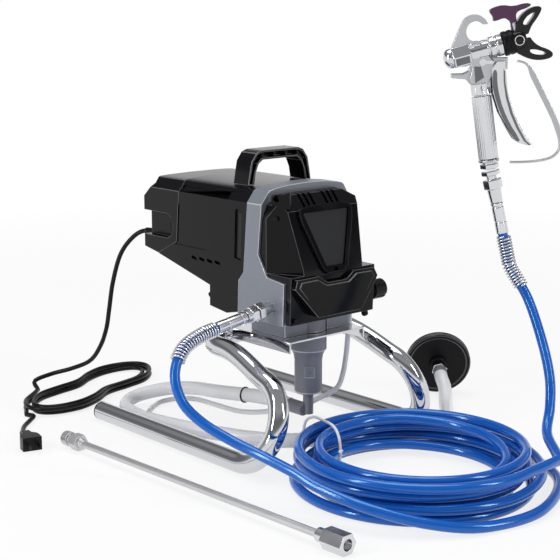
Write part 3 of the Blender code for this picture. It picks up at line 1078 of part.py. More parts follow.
def build_mains_cord():
    """Black mains cord: from the strain relief to a flat hank on the floor, and on to the plug."""
    rise = 2 * CORD_R + 0.0006
    wound = wound_route(CORD_LOOPS, 2, HANK_HALF_LENGTH, HANK_HALF_WIDTH, HANK_STEP, rise, HANK_WAIST,
                        HANK_START_DEG)
    turn = (Matrix.Translation(HANK_CENTRE + Vector((0, 0, CORD_R + GAP)))
            @ Matrix.Rotation(math.radians(HANK_TURN_DEG), 4, 'Z'))
    wound = [turn @ Vector((p.x, -p.y, p.z)) for p in wound]
    print("cord hank least self gap mm", round(1000 * least_self_gap(wound, CORD_R, LOOP_POINTS // 2), 2))
    wound = straight_ends(wound, 2 * CORD_R)
    tube("cord_hank", wound, CORD_R, "cord_black", 1)
    out = (wound[-1] - wound[-2]).normalized()
    top_end = wound[-1] + out * GAP
    knots = [(RELIEF_X, MACHINE_REAR_Y - 0.0080, RELIEF_Z), (RELIEF_X, MACHINE_REAR_Y + 0.0315, RELIEF_Z),
             (-0.0600, 0.2950, 0.2400), (-0.0740, 0.3060, 0.2160), (-0.0820, 0.3150, 0.1760),
             (-0.0862, 0.3200, 0.1360), (-0.0868, 0.3270, 0.1080), (-0.0860, 0.3440, 0.0790),
             (-0.0870, 0.3700, 0.0520), (-0.0980, 0.4010, 0.0360), (-0.1180, 0.4260, 0.0260),
             (-0.1420, 0.4340, 0.0180), top_end + out * 0.014, top_end]
    cord = smooth_route(knots, 0.016)
    tube("mains_cord", cord, CORD_R, "cord_black", 1)
    into = (wound[0] - wound[1]).normalized()
    low_end = wound[0] + into * GAP
    floor = CORD_R + GAP
    tail = PLUG_REAR - PLUG_DIR.normalized() * GAP
    lead = smooth_route([tail, tail - PLUG_DIR.normalized() * 0.014, (-0.2620, 0.2720, 0.0050),
                         (-0.2450, 0.2950, floor), (-0.2250, 0.3130, floor), (-0.2110, 0.3270, floor),
                         low_end + into * 0.012, low_end], 0.0125)
    tube("cord_lead", lead, CORD_R, "cord_black", 1)
    print("mains cord length m", round(route_length(cord) + route_length(wound) + route_length(lead), 3))
    axis = frame_of(PLUG_REAR, PLUG_DIR, (0, 0, 1))
    grip = [(0.0050, 0.0), (0.0062, 0.010), (0.0105, 0.014), (0.0125, 0.020), (0.0125, PLUG_LENGTH),
            (-0.0125, PLUG_LENGTH), (-0.0125, 0.020), (-0.0105, 0.014), (-0.0062, 0.010), (-0.0050, 0.0)]
    lie_flat = axis @ Matrix(((0, 0, 1, 0), (1, 0, 0, 0), (0, 1, 0, 0), (0, 0, 0, 1)))
    plug = add_object("mains_plug", outline_mesh(grip, -0.0090, 0.0090), "cord_black", lie_flat)
    for s in (-1, 1):
        low, high = sorted((s * 0.0056, s * 0.0071))
        blade = box_mesh((low, PLUG_LENGTH - 0.004, -0.0031), (high, PLUG_LENGTH + BLADE_LENGTH, 0.0031))
        combine(plug, blade, 'UNION', lie_flat)


def build_lance():
    """Half-metre extension lance lying on the floor, with its coupling nut."""
    lift = Vector((0, 0, LANCE_NUT_R * math.cos(math.radians(30)) + GAP))
    axis = frame_of(LANCE_START + lift, LANCE_END - LANCE_START, (0, 0, 1))
    length = (LANCE_END - LANCE_START).length
    tube_end = length - 0.010
    lance = turned("lance_tube", [(0, tube_end), (0.0063, tube_end), (0.0063, length - 0.0197),
                                  (LANCE_R, length - 0.0197), (LANCE_R, 0.038), (0.0065, 0.036),
                                  (0.0065, 0.012), (0.0095, 0.0115), (0.0095, 0.001), (0.0085, 0),
                                  (0, 0)], "zinc", axis, 16)
    combine(lance, rod_mesh(0.0112, 0.0190, 0.0330, 6), 'UNION', axis)
    nut = add_object("lance_nut", rod_mesh(LANCE_NUT_R, length - 0.030, length, 6), "zinc", axis)
    combine(nut, rod_mesh(0.0080, length - 0.042, length - 0.0295, 20), 'UNION', axis)
    combine(nut, rod_mesh(LANCE_R + GAP, length - 0.05, length + 0.01, 20), 'DIFFERENCE', axis)
    combine(nut, rod_mesh(0.0066, length - 0.0200, length + 0.01, 20), 'DIFFERENCE', axis)


def main():
    build_stand()
    build_bracket()
    build_pump()
    build_frame()
    build_front_cover()
    build_motor_housing()
    build_rear_cap()
    build_carry_handle()
    build_drive()
    build_controls()
    build_outlet_fittings()
    build_gun_hose_end()
    build_gun()
    build_gun_fittings()
    build_paint_hose()
    build_suction_set()
    build_mains_cord()
    build_lance()
    shift = Matrix.Translation(FRAME_SHIFT)
    for obj in list(PARTS.objects) + list(CUTTERS.objects):
        obj.matrix_world = shift @ obj.matrix_world


clear_scene()
PARTS = new_collection(COLLECTION_NAME)
CUTTERS = new_collection("cutters")
MATERIALS = {
    "chrome": material("chrome", (0.80, 0.80, 0.82), 0.08, 1.0),
    "zinc": material("zinc", (0.66, 0.67, 0.70), 0.25, 1.0),
    "steel": material("steel", (0.50, 0.51, 0.53), 0.35, 1.0),
    "aluminium": material("aluminium", (0.78, 0.79, 0.81), 0.28, 1.0),
    "copper": material("copper", (0.60, 0.32, 0.18), 0.40, 1.0),
    "cast_grey": material("cast_grey", (0.22, 0.24, 0.27), 0.45, 0.3),
    "dark_grey": material("dark_grey", (0.06, 0.06, 0.065), 0.50),
    "black_gloss": material("black_gloss", (0.012, 0.012, 0.014), 0.22),
    "black_satin": material("black_satin", (0.016, 0.016, 0.018), 0.45),
    "hose_blue": material("hose_blue", (0.010, 0.110, 0.620), 0.22),
    "clear_hose": material("clear_hose", (0.72, 0.73, 0.76), 0.30),
    "cord_black": material("cord_black", (0.012, 0.012, 0.013), 0.55),
    "plum": material("plum", (0.075, 0.030, 0.075), 0.40),
}
main()
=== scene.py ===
import math

import bpy
from mathutils import Matrix, Vector


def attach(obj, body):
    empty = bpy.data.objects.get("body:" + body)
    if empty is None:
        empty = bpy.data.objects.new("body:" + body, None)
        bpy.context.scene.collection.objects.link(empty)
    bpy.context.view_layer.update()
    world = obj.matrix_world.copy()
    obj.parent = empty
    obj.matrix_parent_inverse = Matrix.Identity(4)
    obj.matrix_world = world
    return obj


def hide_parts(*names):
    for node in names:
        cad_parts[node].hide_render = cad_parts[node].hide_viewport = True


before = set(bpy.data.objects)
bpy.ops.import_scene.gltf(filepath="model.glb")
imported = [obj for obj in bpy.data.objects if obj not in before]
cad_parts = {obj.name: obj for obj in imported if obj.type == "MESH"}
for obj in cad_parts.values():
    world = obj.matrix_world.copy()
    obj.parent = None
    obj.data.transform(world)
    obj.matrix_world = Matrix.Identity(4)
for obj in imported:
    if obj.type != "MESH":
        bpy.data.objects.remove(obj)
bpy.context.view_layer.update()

bpy.context.scene.view_settings.view_transform = 'Standard'


# --- Camera --------------------------------------------------------------------------------
# It stands in front of the machine and to its left, a little above it, and looks down eleven
# and a half degrees through a long lens, as a studio picture of a machine is taken.
lens = bpy.data.cameras.new("studio_camera")
lens.sensor_width = 36.0
lens.lens = 88.26
camera = bpy.data.objects.new("studio_camera", lens)
bpy.context.scene.collection.objects.link(camera)
camera.location = (-1.14543, -1.23755, 0.563)
looking = Vector((0.65315, 0.73051, -0.19937))
camera.rotation_euler = looking.to_track_quat('-Z', 'Y').to_euler()
bpy.context.scene.camera = camera


# --- Studio --------------------------------------------------------------------------------
# A pale sweep of floor under a large soft lamp, with a strip lamp at the left and one in front.
# The camera sees a white room. Shiny pieces see it white near the floor and grey above that.
def new_material(name):
    """A new material with a Principled shader, and its nodes and links."""
    finish = bpy.data.materials.new(name)
    finish.use_nodes = True
    return finish, finish.node_tree.nodes, finish.node_tree.links


def fill(node, values):
    """Sets the node's inputs, by their names or numbers."""
    for name, value in values.items():
        node.inputs[name].default_value = value
    return node


def add_node(nodes, kind, values=None, **settings):
    """A new node with its settings and the values of its inputs."""
    node = nodes.new("ShaderNode" + kind)
    for name, setting in settings.items():
        setattr(node, name, setting)
    return fill(node, values or {})


def connect(links, *pairs):
    """Links each output to the input beside it."""
    for output, target in pairs:
        links.new(output, target)


bpy.ops.object.select_all(action='DESELECT')
bpy.ops.mesh.primitive_plane_add(size=14.0, location=(0, 0, 0))
floor = bpy.context.active_object
floor.name = "studio_floor"
sweep, nodes, links = new_material("pale_sweep")
paper = fill(nodes["Principled BSDF"], {"Base Color": (0.90, 0.90, 0.91, 1), "Roughness": 0.75,
                                        "Specular IOR Level": 0.1})
glow = add_node(nodes, "Emission", {"Color": (1.0, 1.0, 1.0, 1)})
seen = add_node(nodes, "LightPath")
place = add_node(nodes, "TexCoord")
reach = add_node(nodes, "VectorMath", operation='LENGTH')
fade = add_node(nodes, "MapRange", {"From Min": 0.55, "From Max": 2.2, "To Min": 0.80, "To Max": 1.0})
shown = add_node(nodes, "Math", operation='MAXIMUM')
share = add_node(nodes, "Math", operation='MULTIPLY')
blend = add_node(nodes, "MixShader")
connect(links,
        (place.outputs["Object"], reach.inputs[0]),
        (reach.outputs["Value"], fade.inputs["Value"]),
        (seen.outputs["Is Camera Ray"], shown.inputs[0]),
        (seen.outputs["Is Glossy Ray"], shown.inputs[1]),
        (shown.outputs[0], share.inputs[0]),
        (fade.outputs["Result"], share.inputs[1]),
        (share.outputs[0], blend.inputs["Fac"]),
        (paper.outputs[0], blend.inputs[1]),
        (glow.outputs[0], blend.inputs[2]),
        (blend.outputs[0], nodes["Material Output"].inputs["Surface"]))
floor.data.materials.append(sweep)

world = bpy.data.worlds.new("studio_room")
bpy.context.scene.world = world
world.use_nodes = True
nodes, links = world.node_tree.nodes, world.node_tree.links
room = fill(nodes["Background"], {"Strength": 1.0})
seen = add_node(nodes, "LightPath")
way = add_node(nodes, "TexCoord")
parts = add_node(nodes, "SeparateXYZ")
ahead = add_node(nodes, "VectorMath", {1: (0.65, 0.73, 0.0)}, operation='DOT_PRODUCT')
far_side = add_node(nodes, "Math", {1: 0.0}, operation='MAXIMUM')
lifted = add_node(nodes, "Math", {1: -0.20}, operation='MULTIPLY_ADD')
height = add_node(nodes, "ValToRGB")
lowest, highest = height.color_ramp.elements
lowest.position, lowest.color = 0.0, (0.62, 0.62, 0.63, 1)
highest.position, highest.color = 1.0, (0.30, 0.31, 0.33, 1)
for spot, shade in ((0.10, 0.45), (0.22, 0.20), (0.42, 0.17), (0.62, 0.38)):
    height.color_ramp.elements.new(spot).color = (shade, shade, shade * 1.03, 1)
low_down = add_node(nodes, "MapRange", {"From Min": 0.02, "From Max": 0.13, "To Min": 1.0, "To Max": 0.0})
mirrored = add_node(nodes, "Math", operation='MULTIPLY')
shown = add_node(nodes, "Math", operation='MAXIMUM')
white = add_node(nodes, "Mix", {"B": (1, 1, 1, 1)}, data_type='RGBA')
connect(links,
        (way.outputs["Generated"], parts.inputs[0]),
        (way.outputs["Generated"], ahead.inputs[0]),
        (ahead.outputs["Value"], far_side.inputs[0]),
        (far_side.outputs[0], lifted.inputs[0]),
        (parts.outputs["Z"], lifted.inputs[2]),
        (lifted.outputs[0], height.inputs["Fac"]),
        (lifted.outputs[0], low_down.inputs["Value"]),
        (low_down.outputs["Result"], mirrored.inputs[0]),
        (seen.outputs["Is Glossy Ray"], mirrored.inputs[1]),
        (mirrored.outputs[0], shown.inputs[0]),
        (seen.outputs["Is Camera Ray"], shown.inputs[1]),
        (shown.outputs[0], white.inputs["Factor"]),
        (height.outputs["Color"], white.inputs["A"]),
        (white.outputs["Result"], room.inputs["Color"]))


def soft_lamp(name, place, aim, width, depth, power):
    """A softbox that faces the point it is aimed at."""
    light = bpy.data.lights.new(name, 'AREA')
    light.shape = 'RECTANGLE'
    light.size = width
    light.size_y = depth
    light.energy = power
    lamp = bpy.data.objects.new(name, light)
    bpy.context.scene.collection.objects.link(lamp)
    lamp.location = place
    lamp.rotation_euler = (Vector(aim) - Vector(place)).to_track_quat('-Z', 'Y').to_euler()


soft_lamp("overhead_lamp", (0.10, 0.25, 2.30), (0.0, 0.0, 0.15), 1.7, 1.3, 25)
soft_lamp("left_strip", (-2.10, 0.35, 1.05), (0.0, 0.05, 0.2), 0.30, 1.6, 23)
soft_lamp("front_strip", (0.75, -2.25, 1.35), (0.0, -0.1, 0.2), 0.28, 1.4, 18)


# --- Paint hose ----------------------------------------------------------------------------
# Seven and a half metres of blue high-pressure hose with a smooth jacket. It leaves the outlet
# on the machine's left, drops to the floor, lies in a coil of four layers and rises to the gun.
machine = Matrix.Translation((0.02107, 0.01245, 0.0))   # the stand's own zero, under the pump


def moulded(name, colour, roughness, grain, depth, cloud=6.0, shift=0.12, metallic=0.0, spread=0.08,
            shine=0.5):
    """Plastic, paint or metal with clouded colour, uneven gloss and a fine grain, in Object coordinates."""
    finish, nodes, links = new_material(name)
    shader = fill(nodes["Principled BSDF"], {"Metallic": metallic, "Specular IOR Level": shine})
    place = add_node(nodes, "TexCoord")
    clouds = add_node(nodes, "TexNoise", {"Scale": cloud, "Detail": 3.0})
    tone = add_node(nodes, "Mix", {"A": (*[c * (1 - shift) for c in colour], 1),
                                   "B": (*[min(c * (1 + shift), 1.0) for c in colour], 1)}, data_type='RGBA')
    gloss = add_node(nodes, "MapRange", {"To Min": max(roughness - spread, 0.02),
                                         "To Max": roughness + spread})
    fine = add_node(nodes, "TexNoise", {"Scale": grain, "Detail": 2.0})
    relief = add_node(nodes, "Bump", {"Strength": 1.0, "Distance": depth})
    connect(links,
            (place.outputs["Object"], clouds.inputs["Vector"]),
            (place.outputs["Object"], fine.inputs["Vector"]),
            (clouds.outputs["Fac"], tone.inputs["Factor"]),
            (tone.outputs["Result"], shader.inputs["Base Color"]),
            (clouds.outputs["Fac"], gloss.inputs["Value"]),
            (gloss.outputs["Result"], shader.inputs["Roughness"]),
            (fine.outputs["Fac"], relief.inputs["Height"]),
            (relief.outputs["Normal"], shader.inputs["Normal"]))
    return finish


def even_points(points, step):
    """The same line with its points a step apart."""
    total = sum((b - a).length for a, b in zip(points, points[1:]))
    count = max(2, round(total / step))
    result = [points[0].copy()]
    walked = 0.0
    for a, b in zip(points, points[1:]):
        span = (b - a).length
        while len(result) < count and span > 0 and walked + span >= total * len(result) / count:
            result.append(a.lerp(b, (total * len(result) / count - walked) / span))
        walked += span
    return result + [points[-1].copy()]


def smooth_route(knots, step):
    """A smooth line through the knots, straight between its first two and its last two."""
    knots = [Vector(k) for k in knots]
    steps = 24                                          # from one knot to the next
    line = []
    for before, a, b, after in zip(knots, knots[1:], knots[2:], knots[3:]):
        for k in range(steps):
            t = k / steps
            line.append(0.5 * (2 * a + (b - before) * t + (2 * before - 5 * a + 4 * b - after) * t ** 2
                               + (3 * a - before - 3 * b + after) * t ** 3))
    line.append(knots[-2])
    return [knots[0]] + even_points(line, step) + [knots[-1]]


def wound_line(turns, layers, half_length, half_width, step_in, rise, waist, start_deg):
    """Loops that spiral in and out again, and climb one layer where they turn back."""
    points_per_turn, waist_width = 20, 0.42
    count = round(turns * points_per_turn)
    per_layer = turns / layers
    points = []
    for k in range(count + 1):
        turn = turns * k / count
        layer = min(int(turn / per_layer), layers - 1)
        along = turn / per_layer - layer
        inward = along if layer % 2 == 0 else 1.0 - along
        climb = sum(min(max((turn - n * per_layer) / 0.5 + 0.5, 0.0), 1.0) for n in range(1, layers))
        angle = math.radians(start_deg) + 2 * math.pi * turn
        draw = 1.0 - waist * math.exp(-(math.cos(angle) / waist_width) ** 2)
        points.append(Vector(((half_length - inward * step_in) * math.cos(angle),
                              (half_width - inward * step_in) * math.sin(angle) * draw, climb * rise)))
    return points


def with_straight_ends(points, run):
    """The same line with a short straight run added at both ends."""
    first = points[0] + (points[0] - points[1]).normalized() * run
    last = points[-1] + (points[-1] - points[-2]).normalized() * run
    return [first] + points + [last]


def round_cord(name, points, radius, material, rings=6):
    """A round cord as a curve that follows the points, closed at both ends."""
    line = bpy.data.curves.new(name, 'CURVE')
    line.dimensions = '3D'
    line.bevel_depth = radius
    line.bevel_resolution = rings
    line.use_fill_caps = True
    spline = line.splines.new('POLY')
    spline.points.add(len(points) - 1)
    for point, spot in zip(spline.points, points):
        point.co = (*(machine @ spot), 1.0)
    spline.use_smooth = True
    piece = bpy.data.objects.new(name, line)
    bpy.context.scene.collection.objects.link(piece)
    line.materials.append(material)
    return piece


def carry(piece, body, slot, *nodes):
    """Gives a piece its body and hides the CAD nodes that it stands for. The slot is not used."""
    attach(piece, body)
    if nodes:
        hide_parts(*nodes)
    return piece


hose_r = 0.00625
gap = 0.0003
outlet_base = Vector((-0.075, -0.012, 0.193))
outlet_droop = math.radians(9.0)
outlet_way = Vector((-math.cos(outlet_droop), 0.0, -math.sin(outlet_droop)))
coil_centre = Vector((-0.010, -0.200, 0.0))


def on_coil(degrees, radius, z):
    """A point beside the coil, by its direction from the coil's middle."""
    angle = math.radians(degrees)
    return coil_centre + Vector((radius * math.cos(angle), radius * math.sin(angle), z))


yaw = math.radians(-41.8)                               # so that its flat side faces the camera
gun_u = Vector((math.cos(yaw), math.sin(yaw), 0.0))
gun_v = Vector((0.0, 0.0, 1.0))
gun_turn = Matrix((gun_u, gun_v, gun_u.cross(gun_v))).transposed().to_4x4()
gun_place = Matrix.Translation((0.1336, -0.1588, 0.4927)) @ gun_turn
grip_lean = math.radians(8.26)
grip_way = Vector((math.sin(grip_lean), -math.cos(grip_lean), 0.0))
grip_top = Vector((0.0028, -0.0427, 0.0))
grip_end = grip_top + grip_way * 0.090
hose_end = Vector((0.0342, -0.2120, 0.0))
hose_end_way = (grip_end - hose_end).normalized()

coil = wound_line(turns=7.58, layers=4, half_length=0.150, half_width=0.150, step_in=0.046,
                  rise=2 * hose_r + 0.0006, waist=0.0, start_deg=75.0)
coil = with_straight_ends([coil_centre + Vector((0, 0, hose_r + gap)) + p for p in coil], 2 * hose_r)
into_coil = (coil[1] - coil[0]).normalized()
coil_in = coil[0] - into_coil * gap
floor_z = hose_r + 0.0008
machine_end = outlet_base + outlet_way * 0.0873
machine_knots = [machine_end, machine_end + outlet_way * 0.020, (-0.2140, -0.0150, 0.1640),
                 (-0.2330, -0.0230, 0.1380), (-0.2330, -0.0370, 0.1080), (-0.2210, -0.0580, 0.0860),
                 (-0.2060, -0.0880, 0.0700), (-0.1930, -0.1280, 0.0580), (-0.1850, -0.1750, 0.0480),
                 on_coil(183, 0.1700, 0.0385), on_coil(205, 0.1680, 0.0270), on_coil(228, 0.1675, 0.0145),
                 on_coil(250, 0.1675, floor_z), on_coil(280, 0.1675, floor_z),
                 on_coil(320, 0.1675, floor_z), on_coil(360, 0.1675, floor_z),
                 on_coil(395, 0.1670, floor_z), coil_in - into_coil * 0.030, coil_in]
out_of_coil = (coil[-1] - coil[-2]).normalized()
coil_out = coil[-1] + out_of_coil * gap
ferrule_foot = gun_place @ hose_end
down = ferrule_foot - gun_place @ (hose_end + hose_end_way)
gun_knots = [ferrule_foot + down * gap, ferrule_foot + down * 0.040, (0.1740, -0.2130, 0.2000),
             (0.1650, -0.2450, 0.1500), (0.1540, -0.2660, 0.1120), (0.1430, -0.2760, 0.0800),
             (0.1180, -0.2920, 0.0560), coil_out + out_of_coil * 0.035, coil_out]
hose_step = 0.007
hose_line = smooth_route(machine_knots, hose_step)
hose_line += smooth_route(coil, hose_step)[1:]
hose_line += smooth_route(gun_knots, hose_step)[-2::-1]

jacket = moulded("blue_hose_jacket", (0.003, 0.105, 0.50), 0.16, 260.0, 0.00006, cloud=30.0, shift=0.06,
                 spread=0.05, shine=0.8)
fill(jacket.node_tree.nodes["Principled BSDF"], {"Specular Tint": (0.55, 0.85, 1.0, 1)})
paint_hose = round_cord("paint_hose", hose_line, hose_r, jacket, 5)
carry(paint_hose, "machine", "hose_blue", "hose_run_machine", "hose_coil", "hose_run_gun")


# --- Spring guards, crimped ferrules and coil tie ------------------------------------------
# Zinc-plated spring wire wound over the hose's first three inches keeps it from kinking, and a
# crimped steel ferrule holds the hose to its swivel nut, at the machine and at the gun. A white
# tie holds the coil together.
def pick(piece):
    """Makes the piece the only selected one, and the active one."""
    bpy.ops.object.select_all(action='DESELECT')
    piece.select_set(True)
    bpy.context.view_layer.objects.active = piece


def merge_points(piece, distance):
    """Merges the points of a piece that lie closer together than the distance."""
    pick(piece)
    bpy.ops.object.mode_set(mode='EDIT')
    bpy.ops.mesh.select_all(action='SELECT')
    bpy.ops.mesh.remove_doubles(threshold=distance)
    bpy.ops.object.mode_set(mode='OBJECT')


def swept(name, points, radius, material, rings=3):
    """A wire or tube along the points, as a mesh with closed ends."""
    piece = round_cord(name, points, radius, material, rings)
    pick(piece)
    bpy.ops.object.convert(target='MESH')
    merge_points(piece, 0.00001)
    return piece


def spring_line(path, coil_radius, pitch, per_turn, wire):
    """Spring wire wound round a path."""
    total = sum((b - a).length for a, b in zip(path, path[1:]))
    turns = math.floor((total - 4 * wire) / pitch)
    count = turns * per_turn
    fine = even_points(path, total / (count + 1))
    side = (fine[1] - fine[0]).orthogonal().normalized()
    points = []
    for k in range(count + 1):
        index = min((2 * wire + turns * pitch * k / count) / total * (len(fine) - 1), len(fine) - 1.001)
        low = int(index)
        centre = fine[low].lerp(fine[low + 1], index - low)
        along = (fine[low + 1] - fine[low]).normalized()
        side = (side - along * side.dot(along)).normalized()
        angle = 2 * math.pi * k / per_turn
        points.append(centre + coil_radius * (math.cos(angle) * side + math.sin(angle) * along.cross(side)))
    return points


def z_along(origin, axis, hint=(1.0, 0.0, 0.0)):
    """Placement whose own Z points along the axis."""
    z_way = Vector(axis).normalized()
    hint = Vector(hint)
    if abs(hint.normalized().dot(z_way)) > 0.95:
        hint = Vector((0.0, 1.0, 0.0))
    y_way = z_way.cross(hint).normalized()
    return Matrix.Translation(origin) @ Matrix((y_way.cross(z_way), y_way, z_way)).transposed().to_4x4()


def turned(name, rings, place, sides=40):
    """A turned part: a circle primitive extruded ring by ring through (radius, height) pairs."""
    bpy.ops.object.select_all(action='DESELECT')
    bpy.ops.mesh.primitive_circle_add(vertices=sides, radius=rings[0][0], fill_type='NGON',
                                      location=(0, 0, 0))
    piece = bpy.context.active_object
    piece.name = name
    bpy.ops.object.mode_set(mode='EDIT')
    bpy.ops.mesh.select_all(action='SELECT')
    bpy.ops.transform.translate(value=(0, 0, rings[0][1]))
    for (radius_a, z_a), (radius_b, z_b) in zip(rings, rings[1:]):
        bpy.ops.mesh.extrude_region_move(TRANSFORM_OT_translate={"value": (0, 0, z_b - z_a)})
        ratio = radius_b / radius_a
        bpy.ops.transform.resize(value=(ratio, ratio, 1), center_override=(0, 0, z_b))
    bpy.ops.mesh.select_all(action='SELECT')
    bpy.ops.mesh.normals_make_consistent(inside=False)
    bpy.ops.object.mode_set(mode='OBJECT')
    piece.data.transform(machine @ place)
    return piece


def apply_step(piece, step):
    """Applies one modifier of the piece."""
    pick(piece)
    bpy.ops.object.modifier_apply(modifier=step.name)


def round_edges(piece, width, segments=2, degrees=32.0, smooth=48.0, painted_highlight=True):
    """Rounds the sharp edges, smooths the rest and keeps the flats flat. Unless told not to, the rounds take
    slot two, which settle can fill with a lighter colour as a painted highlight.
    """
    while painted_highlight and len(piece.data.materials) < 2:
        piece.data.materials.append(None)
    step = piece.modifiers.new("edges", 'BEVEL')
    step.material = 1 if painted_highlight else -1
    step.width = width
    step.segments = segments
    step.limit_method = 'ANGLE'
    step.angle_limit = math.radians(degrees)
    step.use_clamp_overlap = True
    apply_step(piece, step)
    bpy.ops.object.shade_smooth_by_angle(angle=math.radians(smooth))
    step = piece.modifiers.new("flats", 'WEIGHTED_NORMAL')
    step.keep_sharp = True
    apply_step(piece, step)
    return piece


def cut(piece, tool, way='DIFFERENCE'):
    """Cuts the tool's shape out of the piece, or joins it on."""
    step = piece.modifiers.new("cut", 'BOOLEAN')
    step.operation = way
    step.object = tool
    apply_step(piece, step)
    bpy.data.objects.remove(tool)
    return piece


def from_solid(node):
    """A merged copy of a CAD solid, to be finished with rounded edges."""
    piece = bpy.data.objects.new(node + "_skin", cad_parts[node].data.copy())
    bpy.context.scene.collection.objects.link(piece)
    merge_points(piece, 0.000005)
    bpy.ops.object.mode_set(mode='EDIT')
    bpy.ops.mesh.select_all(action='SELECT')
    bpy.ops.mesh.dissolve_limited(angle_limit=math.radians(1.0))
    bpy.ops.object.mode_set(mode='OBJECT')
    return piece


def settle(piece, body, slot, material, *nodes, edge=None):
    """Gives a finished piece its material, its body and the CAD nodes that it stands for."""
    kinds = [0] * len(piece.data.polygons)
    piece.data.polygons.foreach_get("material_index", kinds)
    piece.data.materials.clear()
    piece.data.materials.append(material)
    # The edge material goes on the rounds that round_edges gave slot two: a lighter colour as a painted
    # highlight.
    if edge:
        piece.data.materials.append(edge)
    piece.data.polygons.foreach_set("material_index", [1 if edge and kind == 1 else 0 for kind in kinds])
    return carry(piece, body, slot, *nodes)


def finish_solid(node, body, slot, material, width, segments=2, degrees=32.0, edge=None):
    """A copy of a CAD solid with its edges rounded, which takes that solid's place."""
    piece = round_edges(from_solid(node), width, segments, degrees)
    return settle(piece, body, slot, material, node, edge=edge)


zinc = moulded("bright_zinc", (0.70, 0.71, 0.74), 0.20, 700.0, 0.00003, cloud=25.0, shift=0.10, metallic=1.0)
wire_r = 0.0012
spring_r, spring_pitch = 0.0083, 0.0038
fine_step = 0.0005
covered_steps = slice(2, 154)                           # those that the spring covers


def guard_spring(name, knots, node):
    """A spring guard over the hose's first three inches."""
    covered = even_points(smooth_route(knots, 0.002), fine_step)[covered_steps]
    wire = spring_line(covered, spring_r, spring_pitch, per_turn=18, wire=wire_r)
    return settle(swept(name, wire, wire_r, zinc, 2), "machine", "zinc", zinc, node)


guard_machine = guard_spring("guard_spring_machine", machine_knots, "hose_guard_machine")
tie_white = moulded("white_tie_wire", (0.86, 0.86, 0.87), 0.42, 300.0, 0.00003, cloud=20.0, shift=0.03)
for name, step, radius, knots in (
        ("coil_tie", 0.003, 0.0018,
         ((104, 0.1590, 0.0030), (104, 0.1615, 0.0240), (104, 0.1580, 0.0480), (105, 0.1450, 0.0575),
          (108, 0.1260, 0.0580), (114, 0.1060, 0.0560), (119, 0.0960, 0.0440), (122, 0.0935, 0.0240),
          (122, 0.0980, 0.0060), (120, 0.1060, 0.0015))),
        ("coil_tie_end", 0.002, 0.0016,
         ((121, 0.0935, 0.0290), (124, 0.0905, 0.0330), (127, 0.0930, 0.0330), (129, 0.0900, 0.0300)))):
    tie = swept(name, smooth_route([on_coil(*knot) for knot in knots], step), radius, tie_white)
    settle(tie, "machine", "clear_hose", tie_white)
guard_gun = guard_spring("guard_spring_gun", gun_knots, "hose_guard_gun")

outlet = z_along(outlet_base, outlet_way)
ferrule_machine = turned("ferrule_machine", [
    (0.0066, 0.0423), (0.0079, 0.0430), (0.0079, 0.0480), (0.0070, 0.0490), (0.0070, 0.0510),
    (0.0077, 0.0520), (0.0077, 0.0700), (0.0073, 0.0706), (0.0073, 0.0720), (0.0077, 0.0726),
    (0.0079, 0.0860), (0.0071, 0.0870)], outlet)
settle(round_edges(ferrule_machine, 0.0002), "machine", "zinc", zinc, "hose_ferrule_machine")
gun_foot = gun_place @ z_along(hose_end, hose_end_way, (0, 0, 1))
ferrule_gun = turned("ferrule_gun", [
    (0.0071, 0.0), (0.0079, 0.0008), (0.0077, 0.0140), (0.0073, 0.0146), (0.0073, 0.0160),
    (0.0077, 0.0166), (0.0077, 0.0330), (0.0070, 0.0338), (0.0070, 0.0352), (0.0079, 0.0360),
    (0.0079, 0.0382), (0.0070, 0.0390)], gun_foot)
settle(round_edges(ferrule_gun, 0.0002), "machine", "zinc", zinc, "hose_ferrule_gun")


# --- Suction hose, filter and return tube --------------------------------------------------
# Milky soft PVC hose from the pump's inlet to a chromed nut and a round black strainer that
# leans on the floor, and a thin return tube of the same stuff that comes down from the prime
# valve and runs beside it.
pvc, nodes, links = new_material("milky_pvc")
shader = fill(nodes["Principled BSDF"], {"Roughness": 0.22, "IOR": 1.45, "Transmission Weight": 0.15,
                                         "Subsurface Weight": 0.25,
                                         "Subsurface Radius": (0.006, 0.006, 0.006)})
place = add_node(nodes, "TexCoord")
haze = add_node(nodes, "TexNoise", {"Scale": 34.0})
tone = add_node(nodes, "Mix", {"A": (0.84, 0.85, 0.87, 1), "B": (0.95, 0.96, 0.98, 1)}, data_type='RGBA')
connect(links,
        (place.outputs["Object"], haze.inputs["Vector"]),
        (haze.outputs["Fac"], tone.inputs["Factor"]),
        (tone.outputs["Result"], shader.inputs["Base Color"]))

filter_way = Vector((0.6481, 0.7249, 0.2334)).normalized()
filter_r = 0.047
filter_foot = Vector((0.2977, 0.0429, gap))             # where the strainer's rim meets the floor
filter_up = (Vector((0, 0, 1)) - filter_way * filter_way.z).normalized()
filter_face = filter_foot + filter_r * filter_up
hub_end = filter_face - filter_way * 0.0206
suction_r = 0.0095
suction_z = suction_r + gap
suction_knots = [
    (-0.006, 0.0283, 0.0455), (-0.0060, 0.0550, 0.0455), (-0.0080, 0.0850, 0.0445),
    (-0.0160, 0.1200, 0.0420), (-0.0200, 0.1650, 0.0370), (-0.0170, 0.2150, 0.0300),
    (-0.0350, 0.2560, 0.0240), (-0.0720, 0.2800, 0.0150), (-0.1020, 0.2620, 0.0100),
    (-0.1140, 0.2150, suction_z), (-0.1080, 0.1650, suction_z), (-0.0980, 0.1250, suction_z),
    (-0.0820, 0.0800, suction_z), (-0.0620, 0.0350, suction_z), (-0.0350, 0.0000, suction_z),
    (0.0050, -0.0240, suction_z), (0.0500, -0.0310, suction_z), (0.0850, -0.0430, suction_z),
    (0.1120, -0.0620, suction_z), (0.1430, -0.0875, suction_z), (0.1780, -0.0790, suction_z),
    (0.2105, -0.0527, suction_z), (0.2347, -0.0297, 0.0130), (0.2544, -0.0102, 0.0265),
    hub_end - filter_way * 0.018, hub_end]
suction_hose = round_cord("milky_suction_hose", smooth_route(suction_knots, 0.006), suction_r, pvc)
